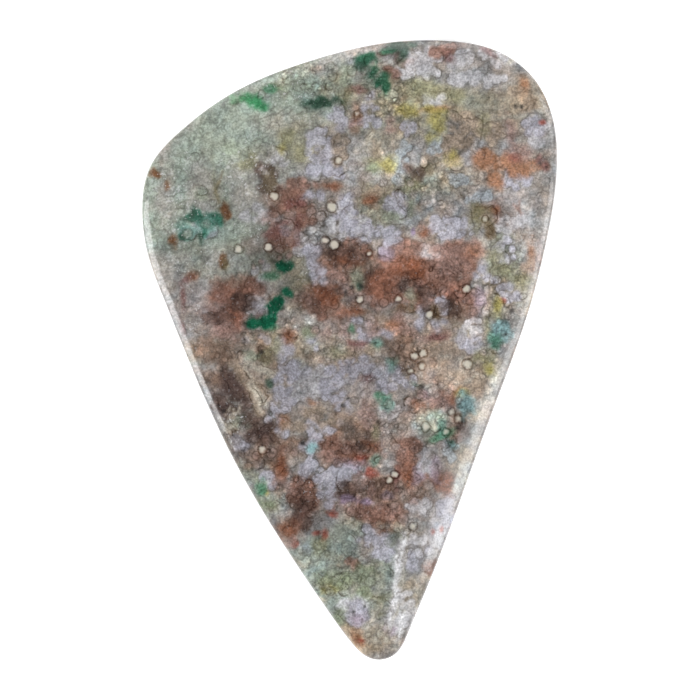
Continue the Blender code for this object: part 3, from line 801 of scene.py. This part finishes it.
def lay_bodies(places, shaken, colour, outlines):
    """Bodies of one mineral: unions of larger bubbles, with a thin dark rim round the whole."""
    edge_noise = cloud(places, 9, 71, 3)
    deep = {name: np.full(len(places), -FAR) for name in BODY_RIMS}
    for number, (tone, strength, patches) in enumerate(BODIES):
        scattered = scatter(BODY_SPACING, 301 + number, BODY_RADII)
        middles = scattered[0].reshape(-1, 2)
        chance = in_patches(middles, patches, 1.5, 3.0 * cloud(middles, 12, 71, 3)) * 1.2
        out, gap, dice = bubbles(shaken, BODY_SPACING, scattered, chance)
        dark = tone in DARK_BODIES
        loose = 2.4 * smooth_step(-0.2, 0.7, cloud(places, 16, 261 + number, 2))
        body = (1 - smooth_step(-1.6 - loose, 1.0 + dark + loose, out + edge_noise)) * strength
        milk = cloud(places, 9, 241 + number, 3)[:, None]
        shade = 1 + 0.07 * (dice[:, 1:2] - 0.5) + (0.4 if dark else 0.14) * milk
        colour = colour + (np.array(TONES[tone]) * shade - colour) * body[:, None]
        name = "dark_bodies" if dark else "pale_bodies"
        deep[name] = np.maximum(deep[name], np.minimum(-out - edge_noise, gap + (0.6 if dark else 1.0)))
    for number, (name, darkness) in enumerate(BODY_RIMS.items()):
        rim = darkness * smooth_step(-0.4, 0.6, cloud(places, 13, 251 + number, 2))
        outlines[name] = (deep[name], rim)
        colour = colour * (1 - 0.12 * rim * np.exp(-((deep[name] + 1.2) / 2.0) ** 2))[:, None]
    return colour


def lay_stains_and_ridge_highlight(places, shaken, colour):
    """Stains that spread through all of it and keep some of its light and shade, and the cream part of the
    painted highlight along the ridge of the flank.
    """
    moved = (wander(places, 6.0, 20, 61) + shaken) / 2
    fray = cloud(places, 7, 73, 4)
    for tone, strength, soft, patches in STAINS_AND_RIDGE_HIGHLIGHT:
        held = in_patches(moved, patches, soft, 5.0 * fray)
        light = colour.mean(axis=1, keepdims=True) / np.mean(TONES[tone])
        target = np.array(TONES[tone]) * (0.55 + 0.45 * np.clip(light, 0.5, 1.1))
        amount = strength * held * (1 - 0.25 * smooth_step(0.0, 0.8, fray))
        colour = colour + (target - colour) * amount[:, None]
    return colour


def chance_of(number, step):
    """A number from 0 to 1 that jumps about from one orb to the next."""
    return (number * step) % 1.0


def lay_orbs(places, colour, outlines):
    """Single round bubbles with a dark rim, and painted shade on each: darker towards its upper right and
    lighter towards its lower left.
    """
    depth = np.full(len(places), -FAR)
    rim = np.zeros(len(places))
    orbs = [(*kind[:3], *orb) for kind in ORBS for orb in kind[3]]
    for number, (tone, strength, rim_strength, x, y, radius) in enumerate(orbs, start=1):
        near = np.nonzero((np.abs(places - (x, y)) < radius + 6).all(axis=1))[0]
        bent = wander(places[near], 1.8, 6, 151 + number % 7)
        far = np.linalg.norm(bent - (x, y), axis=1)
        size = radius * (0.85 + 0.2 * chance_of(number, 0.618))
        disc = 1 - smooth_step(size - 1.8, size + 0.8, far)
        # Painted shade across each bubble: darker towards its upper right, lighter towards its lower left.
        side = 0.05 * (bent[:, 0] - x - bent[:, 1] + y) / size
        amount = strength * (0.45 + 0.55 * chance_of(number, 0.73)) * disc
        colour[near] += (np.array(TONES[tone]) * (1 - side)[:, None] - colour[near]) * amount[:, None]
        deeper = size - far > depth[near]
        depth[near[deeper]] = (size - far)[deeper]
        rim[near[deeper]] = 2.3 * rim_strength * (0.5 + 0.5 * chance_of(number, 0.382))
    outlines["orbs"] = (depth, rim * smooth_step(-0.9, -0.1, cloud(places, 8, 431, 2)))
    return colour


def lay_seams(places, shaken, bent, whole, outlines):
    """Dark seams: some along drawn lines, and finer ones that wind everywhere."""
    seam = np.full(len(places), FAR)
    strength = np.zeros(len(places))
    for darkness, lines in SEAMS:
        for line in lines:
            away = from_line(bent, line)
            nearer = np.abs(away) < np.abs(seam)
            seam[nearer] = away[nearer]
            strength[nearer] = darkness
    darkness = strength * (0.35 + 0.65 * whole) * (1 - smooth_step(2.0, 4.0, np.abs(seam)))
    outlines["seams"] = (seam, darkness)
    for name, scale, seed, darkness in CRACKS:
        winding = cloud(shaken, scale, seed, 3) * scale * 0.75
        outlines[name] = (winding, darkness * smooth_step(-0.35, 0.35, cloud(places, 20, seed + 10, 2)))


def lay_veins_and_ridge_highlight(colour, bent, whole):
    """Pale veins and dark veins along drawn lines, and a painted highlight along the ridge of the flank."""
    for tone, strength, width, lines in VEINS_AND_RIDGE_HIGHLIGHT:
        for line in lines:
            core = np.exp(-(from_line(bent, line) / width) ** 2)
            colour = toned(colour, tone, strength * (0.65 + 0.35 * whole) * core)
    return colour


def lay_grain(places, colour):
    """Grime, grain, pale specks that are partly painted glints, dark pits and dots of dark mineral."""
    colour = colour * (1 - 0.20 * smooth_step(0.2, 0.9, cloud(places, 7, 281, 3)))[:, None]
    colour = colour * (1 + 0.13 * cloud(places, 3.6, 101, 2))[:, None]
    specked_and_glinting = 0.25 + 0.75 * in_patches(places, SPECKLES_AND_GLINTS, 8, 0)
    # Pale flecks toned to white: partly pale mineral specks and partly painted glints of light on tiny pits.
    flecks_and_glints = smooth_step(0.35, 0.9, lattice(places, 2.3, 111))
    flecks_and_glints = flecks_and_glints * smooth_step(-0.3, 0.5, cloud(places, 12, 121, 2))
    colour = toned(colour, "white", 0.6 * flecks_and_glints * specked_and_glinting)
    pits = smooth_step(0.45, 0.95, lattice(places, 2.6, 131))
    pits = pits * smooth_step(-0.2, 0.6, cloud(places, 14, 141, 2))
    colour = colour * (1 - 0.24 * pits)[:, None]
    moved = wander(places, 1.0, 4, 411)
    for x, y, radius in INK_DOTS:
        far = np.linalg.norm(moved - (x, y), axis=1)
        colour = toned(colour, "ink", 0.65 * (1 - smooth_step(radius - 1.6, radius + 0.8, far)))
    return colour


def surface_marks(places):
    """How much small bubbles and pale specks, partly painted glints, crowd at each place, 0 to 1 each."""
    calm = inside(places, CALM_FIELD, 30, 0)
    milky = [patch for tone, _, patches in BODIES if tone in ("lavender", "pale") for patch in patches]
    calm = np.maximum(calm, 0.8 * in_patches(places, milky, 3, 0))
    froth = (0.3 + 0.7 * in_patches(places, FROTH, 12, 0)) * (1 - 0.75 * calm)
    return froth, 0.2 + 0.8 * in_patches(places, SPECKLES_AND_GLINTS, 8, 0)


def stone_colours(places):
    """Colour of the polished face at each place, as sRGB from 0 to 1, and the dark outlines.

    Each outline is how deep a place is inside it, in pixels and below 0 outside, and how dark it is there.
    """
    outlines = {}
    shaken = wander(wander(places, 2.6, 14, 11), 1.3, 5, 21)
    bent = wander(wander(places, 4.0, 11, 401), 1.2, 4, 405)
    whole = smooth_step(-0.5, 0.3, cloud(places, 8, 407, 2))
    calm = inside(places, CALM_FIELD, 30, 0)
    colour = np.tile(np.array(TONES["grey"], float), (len(places), 1))
    colour = lay_ground_and_edge_reflection(places, colour, calm)
    matrix = smooth_step(-0.5, 0.7, cloud(places, 11, 91, 4)) * (1 - 0.5 * calm)
    colour = colour * (1.09 - 0.16 * matrix)[:, None]
    colour = lay_bubbles(places, shaken, colour, calm, outlines)
    colour = lay_bodies(places, shaken, colour, outlines)
    colour = lay_stains_and_ridge_highlight(places, shaken, colour)
    colour = lay_orbs(places, colour, outlines)
    lay_seams(places, shaken, bent, whole, outlines)
    colour = lay_veins_and_ridge_highlight(colour, bent, whole)
    for factor, patches in SHADES:
        colour = colour * (1 + (factor - 1) * in_patches(places, patches, 14, 0))[:, None]
    colour = lay_grain(places, colour)
    # Outlines are fainter in the smooth patches, three of which go with the painted reflection along the
    # right edge.
    faint = 1 - 0.6 * in_patches(places, SMOOTH_AND_EDGE_REFLECTION, 5, 0)
    outlines = {name: (depth, darkness * faint) for name, (depth, darkness) in outlines.items()}
    return np.clip(colour / 255, 0, 1), outlines


# The visible stone

# Where the baked map holds the face with the edge unfolded round it, and the back at a smaller scale.
MAP_FACE_SCALE = 0.0183
MAP_FACE_CORNER = (0.008, 0.008)
MAP_BACK_SCALE = 0.0088
MAP_BACK_CORNER = (0.725, 0.008)

# Edges that bend by more than this, in degrees, are sharp.
SHARP_ANGLE = 30.0

# The back is another cut through the same minerals: turned and moved.
BACK_TURN = 200.0
BACK_SHIFT = (1.5, 4.0)

# How bright a white face would look in the studio's light. The minerals' tones are divided by it.
LIGHT_ON_FACE = 1.09


def linear(colours):
    """sRGB from 0 to 1 as linear light."""
    return np.where(colours <= 0.04045, colours / 12.92, ((colours + 0.055) / 1.055) ** 2.4)


def photo_places(places):
    """Places on the stone in millimetres, as pixels of the photograph."""
    return np.array(STONE_MIDDLE) + places * np.array([1, -1]) / MM_PER_PIXEL


def unfold(rings, normal):
    """The rings' places with the edge laid flat round the face, so that no stretch of it is squeezed."""
    flat = [rings[-1][:, :2]]
    for lower, upper in zip(rings[-2::-1], rings[:0:-1]):
        flat.append(flat[-1] + normal * np.linalg.norm(upper - lower, axis=1)[:, None])
    return flat[::-1]


def stone_mesh(rings, curve):
    """The closed mesh, its vertices, the grids on face and back, and the number of the first back face."""
    faces = []
    for lower in range(len(rings) - 1):
        a = lower * POINTS_ROUND + np.arange(POINTS_ROUND)
        b = lower * POINTS_ROUND + (np.arange(POINTS_ROUND) + 1) % POINTS_ROUND
        faces += np.stack([a, b, b + POINTS_ROUND, a + POINTS_ROUND], axis=1).tolist()

    face_places, face_faces = fill_loop(rings[-1][:, :2], FACE_GRID)
    start = (len(rings) - 1) * POINTS_ROUND
    faces += [[corner + start for corner in face] for face in face_faces]
    first_back_face = len(faces)
    back_places, back_faces = fill_loop(rings[0][:, :2], BACK_GRID)
    shift = start + len(face_places)
    faces += [[corner if corner < POINTS_ROUND else corner + shift for corner in face[::-1]]
              for face in back_faces]
    vertices = np.vstack([*rings,
                          np.column_stack([face_places, face_height(face_places, curve)]),
                          np.column_stack([back_places, np.zeros(len(back_places))])])

    mesh = bpy.data.meshes.new("stone")
    mesh.from_pydata((vertices * METRES_PER_MM).tolist(), [], faces)
    mesh.shade_smooth()
    mesh.set_sharp_from_angle(angle=np.radians(SHARP_ANGLE))
    return mesh, vertices, face_places, back_places, first_back_face


def keep_numbers(mesh, name, *columns):
    """Stores two numbers for each vertex, under a name that the material reads."""
    attribute = mesh.attributes.new(name, "FLOAT_VECTOR", "POINT")
    attribute.data.foreach_set("vector", np.column_stack([*columns, np.zeros(len(columns[0]))]).ravel())


def keep_colours(mesh, on_photo):
    """Stores the minerals' colours, with the painted highlight and reflection in them, the outlines and the
    marks for each vertex.
    """
    colours, outlines = stone_colours(on_photo)
    for name, outline in outlines.items():
        keep_numbers(mesh, name, *outline)
    keep_numbers(mesh, "surface_marks", *surface_marks(on_photo))
    shown = mesh.attributes.new("mineral_and_painted_light_colour", "FLOAT_COLOR", "POINT")
    colours = np.column_stack([linear(colours) / LIGHT_ON_FACE, np.ones(len(colours))])
    shown.data.foreach_set("color", colours.ravel())


def add_baking_map(mesh, vertices, flat, back_places, first_back_face):
    """The map that the colours are baked to: the face with the edge laid flat round it, and the back."""
    corner_vertex = np.empty(len(mesh.loops), int)
    mesh.loops.foreach_get("vertex_index", corner_vertex)
    face_sizes = np.empty(len(mesh.polygons), int)
    mesh.polygons.foreach_get("loop_total", face_sizes)
    on_back = np.repeat(np.arange(len(face_sizes)) >= first_back_face, face_sizes)
    low = flat.min(axis=0)
    on_map = np.array(MAP_FACE_CORNER) + (np.vstack([flat, back_places]) - low) * MAP_FACE_SCALE
    mirrored = vertices[:, :2] * (-1, 1)
    back_on_map = np.array(MAP_BACK_CORNER) + (mirrored - mirrored.min(axis=0)) * MAP_BACK_SCALE
    places_on_map = np.where(on_back[:, None], back_on_map[corner_vertex], on_map[corner_vertex])
    baked = mesh.uv_layers.new(name="OFBake")
    baked.uv.foreach_set("vector", places_on_map.ravel())


def build_stone():
    """The visible stone as one closed mesh, with its colours and the map that they are baked to."""
    curve = smooth_loop(OUTLINE, SAMPLES_PER_SPAN)
    rings, normal = edge_rings(curve)
    mesh, vertices, face_places, back_places, first_back_face = stone_mesh(rings, curve)
    flat = np.vstack([*unfold(rings, normal), face_places])
    angle = np.radians(BACK_TURN)
    turn = np.array([[np.cos(angle), np.sin(angle)], [-np.sin(angle), np.cos(angle)]])
    keep_colours(mesh, photo_places(np.vstack([flat, back_places @ turn + BACK_SHIFT])))
    add_baking_map(mesh, vertices, flat, back_places, first_back_face)
    return mesh


# Materials

def add_node(tree, kind, inputs=None, **settings):
    """Adds a shader node. An input is a number, a colour or another node's output."""
    node = tree.nodes.new(kind)
    for name, value in settings.items():
        setattr(node, name, value)
    for name, value in (inputs or {}).items():
        if isinstance(value, bpy.types.NodeSocket):
            tree.links.new(value, node.inputs[name])
        else:
            node.inputs[name].default_value = value
    return node


def calculate(tree, operation, *values):
    """The result of a Math node."""
    return add_node(tree, "ShaderNodeMath", dict(enumerate(values)), operation=operation).outputs[0]


def add_noise(tree, place, scale, detail=2.0):
    """A noise texture, its scale in bumps to a millimetre."""
    return add_node(tree, "ShaderNodeTexNoise", {"Vector": place, "Scale": scale, "Detail": detail})


def add_vector_math(tree, operation, inputs):
    return add_node(tree, "ShaderNodeVectorMath", inputs, operation=operation)


def fade(tree, value, low, high, result_low=0.0, result_high=1.0):
    """The value's smooth step from low to high, as a number from result_low to result_high."""
    limits = {"Value": value, "From Min": low, "From Max": high, "To Min": result_low, "To Max": result_high}
    return add_node(tree, "ShaderNodeMapRange", limits, interpolation_type="SMOOTHSTEP").outputs["Result"]


def blend(tree, mode, amount, first, second):
    """Two colours mixed by an amount."""
    node = add_node(tree, "ShaderNodeMix", data_type="RGBA", blend_type=mode)
    for socket, value in zip((node.inputs[0], node.inputs[6], node.inputs[7]), (amount, first, second)):
        if isinstance(value, bpy.types.NodeSocket):
            tree.links.new(value, socket)
        else:
            socket.default_value = value
    return node.outputs[2]


def new_material(name):
    material = bpy.data.materials.new(name)
    material.use_nodes = True
    return material, material.node_tree, material.node_tree.nodes["Principled BSDF"]


# The dark outlines that the mesh carries, and how wide half a line is, in pixels of the photo.
OUTLINES = ("large_bubbles", "bubbles", "small_bubbles", "pale_bodies", "dark_bodies", "orbs", "seams",
            "cracks", "long_cracks")
OUTLINE_HALF_WIDTH = 1.6
OUTLINE_TINT = (0.2, 0.15, 0.11, 1.0)

# Finer bubbles, drawn by the material: how many lie along a millimetre, their radius, and their strength.
FINE_BUBBLES = ((1.5, 0.24, 0.35), (2.6, 0.14, 0.35))
# The colour of pale specks, which are partly painted glints.
SPECK_AND_GLINT_COLOUR = (0.78, 0.78, 0.8, 1.0)
ORB_RIM_TINT = (0.55, 0.5, 0.46, 1.0)
ORB_RIM_WIDTH = 0.1
WHITE = (1.0, 1.0, 1.0, 1.0)

# How high the cream bubbles lie on the face, as their material sees it, which flattens heights to a third.
ORB_HEIGHT = 1.35
ORB_FLATTENING = (1.0, 1.0, 0.3)
ORB_RIPPLE = 0.28


def small_bubbles(tree, place, colour, froth, scale, radius, strength):
    """Shades the colour with bubbles: a paler disc and a dark rim round each point of a cell pattern."""
    noise = add_noise(tree, place, scale * 0.9).outputs["Fac"]
    cells = add_node(tree, "ShaderNodeTexVoronoi", {"Vector": place, "Scale": scale}, feature="F1")
    far = calculate(tree, "DIVIDE", cells.outputs["Distance"], scale)
    far = calculate(tree, "ADD", far, fade(tree, noise, 0.3, 0.7, -0.3 * radius, 0.3 * radius))
    disc = fade(tree, far, 0.55 * radius, radius, 0.3, -1.0)
    beyond = fade(tree, far, radius, 1.5 * radius, 0.0, 0.85)
    patchy = add_noise(tree, place, scale * 0.3).outputs["Fac"]
    amount = calculate(tree, "MULTIPLY", froth, fade(tree, patchy, 0.35, 0.6, 0.1, strength))
    shade = calculate(tree, "MULTIPLY_ADD", calculate(tree, "ADD", disc, beyond), amount, 1.0)
    return blend(tree, "MULTIPLY", 1.0, colour, shade)


def draw_outlines(tree, colour):
    """Darkens the colour along the outlines, where the depth inside one of them is about 0."""
    total = 0.0
    for name in OUTLINES:
        outline = add_node(tree, "ShaderNodeAttribute", attribute_name=name).outputs["Vector"]
        depth, darkness = add_node(tree, "ShaderNodeSeparateXYZ", {0: outline}).outputs[:2]
        line = fade(tree, calculate(tree, "ABSOLUTE", depth), 0.0, OUTLINE_HALF_WIDTH, 1.0, 0.0)
        total = calculate(tree, "MAXIMUM", total, calculate(tree, "MULTIPLY", line, darkness))
    return blend(tree, "MULTIPLY", total, colour, OUTLINE_TINT)


def draw_cream_orbs(tree, place, colour):
    """The clearest bubbles: cream discs with a soft dark rim, a little bent by a ripple."""
    ripple = add_noise(tree, place, 2.6, 1.0).outputs["Color"]
    ripple = add_vector_math(tree, "SUBTRACT", {0: ripple, 1: (0.5, 0.5, 0.5)}).outputs[0]
    bent = add_vector_math(tree, "SCALE", {0: ripple, "Scale": ORB_RIPPLE}).outputs[0]
    bent = add_vector_math(tree, "ADD", {0: bent, 1: place}).outputs[0]
    bent = add_vector_math(tree, "MULTIPLY", {0: bent, 1: ORB_FLATTENING}).outputs[0]
    cream = tuple(linear(np.array(TONES["cream"]) / 255) / LIGHT_ON_FACE)
    for x, y, radius in CREAM_ORBS:
        middle = ((x - STONE_MIDDLE[0]) * MM_PER_PIXEL, (STONE_MIDDLE[1] - y) * MM_PER_PIXEL, ORB_HEIGHT)
        size = radius * MM_PER_PIXEL
        far = add_vector_math(tree, "DISTANCE", {0: bent, 1: middle}).outputs["Value"]
        inner = fade(tree, far, size, size + ORB_RIM_WIDTH)
        outer = fade(tree, far, size + ORB_RIM_WIDTH, size + 2.2 * ORB_RIM_WIDTH, 1.0, 0.0)
        rim = calculate(tree, "MULTIPLY", inner, outer)
        colour = blend(tree, "MULTIPLY", rim, colour, ORB_RIM_TINT)
        disc = fade(tree, far, size - 0.12, size + 0.06, 0.8, 0.0)
        colour = blend(tree, "MIX", disc, colour, (*cream, 1.0))
    return colour


def mineral_material():
    """Polished silica: the minerals' colours, which hold painted highlight and reflection, with fine bubbles,
    grain and pale specks that are partly painted glints, under a high polish.
    """
    material, tree, shader = new_material("opalized_wood")
    place = add_node(tree, "ShaderNodeTexCoord").outputs["Object"]
    place = add_vector_math(tree, "SCALE", {0: place, "Scale": 1 / METRES_PER_MM}).outputs[0]
    # The minerals' colours, which hold the painted highlight along the flank's ridge and the painted
    # reflection along the right edge.
    colour = add_node(tree, "ShaderNodeAttribute", attribute_name="mineral_and_painted_light_colour").outputs["Color"]
    marks = add_node(tree, "ShaderNodeAttribute", attribute_name="surface_marks").outputs["Vector"]
    froth, speckles_and_glints = add_node(tree, "ShaderNodeSeparateXYZ", {0: marks}).outputs[:2]

    colour = draw_outlines(tree, colour)
    for scale, radius, strength in FINE_BUBBLES:
        colour = small_bubbles(tree, place, colour, froth, scale, radius, strength)
    grain = add_noise(tree, place, 7.0).outputs["Fac"]
    colour = blend(tree, "MULTIPLY", 1.0, colour, fade(tree, grain, 0.3, 0.7, 0.76, 1.24))
    # Pale specks, partly painted glints of light on tiny pits.
    fine = add_noise(tree, place, 5.0, 1.0).outputs["Fac"]
    specks = calculate(tree, "MULTIPLY", speckles_and_glints, fade(tree, fine, 0.63, 0.73, 0.0, 0.38))
    colour = blend(tree, "MIX", specks, colour, SPECK_AND_GLINT_COLOUR)
    colour = draw_cream_orbs(tree, place, colour)
    tree.links.new(colour, shader.inputs["Base Color"])

    cloudy = add_noise(tree, place, 0.8, 3.0).outputs["Fac"]
    tree.links.new(fade(tree, cloudy, 0.3, 0.7, 0.06, 0.14), shader.inputs["Roughness"])
    shader.inputs["IOR"].default_value = 1.54
    waves = add_noise(tree, place, 1.1).outputs["Fac"]
    bump = add_node(tree, "ShaderNodeBump", {"Height": waves, "Strength": 0.04, "Distance": 0.0004})
    tree.links.new(bump.outputs["Normal"], shader.inputs["Normal"])
    return material


# How much light the table gives off.
TABLE_GLOW = 0.45


def floor_material():
    """A white light table: it glows faintly, so that the stone stands in soft light without a dark shadow."""
    material, tree, shader = new_material("white_table")
    place = add_node(tree, "ShaderNodeTexCoord").outputs["Object"]
    mottle = add_noise(tree, place, 9.0).outputs["Fac"]
    shade = fade(tree, mottle, 0.3, 0.7, 0.92, 0.95)
    white = blend(tree, "MULTIPLY", 1.0, WHITE, shade)
    tree.links.new(white, shader.inputs["Base Color"])
    shader.inputs["Roughness"].default_value = 0.7
    shader.inputs["Emission Color"].default_value = WHITE
    shader.inputs["Emission Strength"].default_value = TABLE_GLOW
    return material


# The studio

FLOOR_SIZE = 3000.0
FLOOR_DROP = 0.02
CAMERA_HEIGHT = 700.0
SENSOR_WIDTH = 36.0

# The height at which the stone is widest, where the camera's scale is set.
OUTLINE_HEIGHT = 0.45

# The light from all round: its strength below and above, and the heights between which it changes.
WORLD_LIGHT_LOW = 0.8
WORLD_LIGHT_ABOVE = 0.04
WORLD_LIGHT_EDGE = (0.55, 0.78)

# Softboxes: azimuth of the side it stands on (0 is +X), elevation of its middle, distance, width, height
# and radiance.
SOFTBOXES = {
    "right_softbox": (-12.5, 29.0, 150.0, 62.0, 84.0, 6.3),
    "right_upper_softbox": (-12.0, 49.0, 150.0, 50.0, 22.0, 2.6),
    "far_right_softbox": (20.0, 32.0, 300.0, 100.0, 140.0, 2.8),
    "left_softbox": (190.0, 27.0, 600.0, 260.0, 480.0, 7.5),
    "top_softbox": (95.0, 35.0, 600.0, 500.0, 300.0, 1.8),
}


def add_floor():
    """A wide floor, a hair below the stone's back so that the two don't coincide."""
    mesh = bpy.data.meshes.new("table")
    half = FLOOR_SIZE / 2 * METRES_PER_MM
    corners = [(-half, -half, 0), (half, -half, 0), (half, half, 0), (-half, half, 0)]
    mesh.from_pydata(corners, [], [(0, 1, 2, 3)])
    floor = bpy.data.objects.new("table", mesh)
    floor.location.z = -FLOOR_DROP * METRES_PER_MM
    mesh.materials.append(floor_material())
    bpy.context.scene.collection.objects.link(floor)


def towards(azimuth, elevation):
    """Unit vector from the stone towards a place in the studio."""
    around, up = np.radians(azimuth), np.radians(elevation)
    return Vector((np.cos(around) * np.cos(up), np.sin(around) * np.cos(up), np.sin(up)))


def add_softbox(name, azimuth, elevation, distance, width, height, radiance):
    light = bpy.data.lights.new(name, "AREA")
    light.shape = "RECTANGLE"
    light.size = width * METRES_PER_MM
    light.size_y = height * METRES_PER_MM
    light.energy = radiance * np.pi * light.size * light.size_y
    lamp = bpy.data.objects.new(name, light)
    direction = towards(azimuth, elevation)
    lamp.location = direction * distance * METRES_PER_MM
    lamp.rotation_euler = direction.to_track_quat("Z", "Y").to_euler()
    lamp.visible_camera = False
    bpy.context.scene.collection.objects.link(lamp)


def add_world():
    """Soft white light from all round, and a dark room above, so that the polished face stays clear."""
    world = bpy.data.worlds.new("studio")
    world.use_nodes = True
    tree = world.node_tree
    direction = add_node(tree, "ShaderNodeTexCoord").outputs["Generated"]
    height = add_node(tree, "ShaderNodeSeparateXYZ", {0: direction}).outputs["Z"]
    strength = fade(tree, height, *WORLD_LIGHT_EDGE, WORLD_LIGHT_LOW, WORLD_LIGHT_ABOVE)
    background = tree.nodes["Background"]
    background.inputs["Color"].default_value = WHITE
    tree.links.new(strength, background.inputs["Strength"])
    bpy.context.scene.world = world


def add_camera():
    """Looks straight down, with the stone's outline at the size and place that it has in the photograph."""
    data = bpy.data.cameras.new("camera")
    data.sensor_width = SENSOR_WIDTH
    data.lens = SENSOR_WIDTH * (CAMERA_HEIGHT - OUTLINE_HEIGHT) / (PICTURE_SIZE * MM_PER_PIXEL)
    data.clip_start, data.clip_end = 0.01, 10.0
    camera = bpy.data.objects.new("camera", data)
    middle = (PICTURE_SIZE / 2 - np.array(STONE_MIDDLE)) * np.array([1, -1]) * MM_PER_PIXEL
    camera.location = Vector((*middle, CAMERA_HEIGHT)) * METRES_PER_MM
    bpy.context.scene.collection.objects.link(camera)
    bpy.context.scene.camera = camera


def main():
    stone = bpy.data.objects.new("stone", build_stone())
    stone.data.materials.append(mineral_material())
    bpy.context.scene.collection.objects.link(stone)
    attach(stone, "root")
    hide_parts("cabochon")

    add_floor()
    add_world()
    for name, settings in SOFTBOXES.items():
        add_softbox(name, *settings)
    add_camera()
    bpy.context.scene.view_settings.view_transform = "Standard"


main()
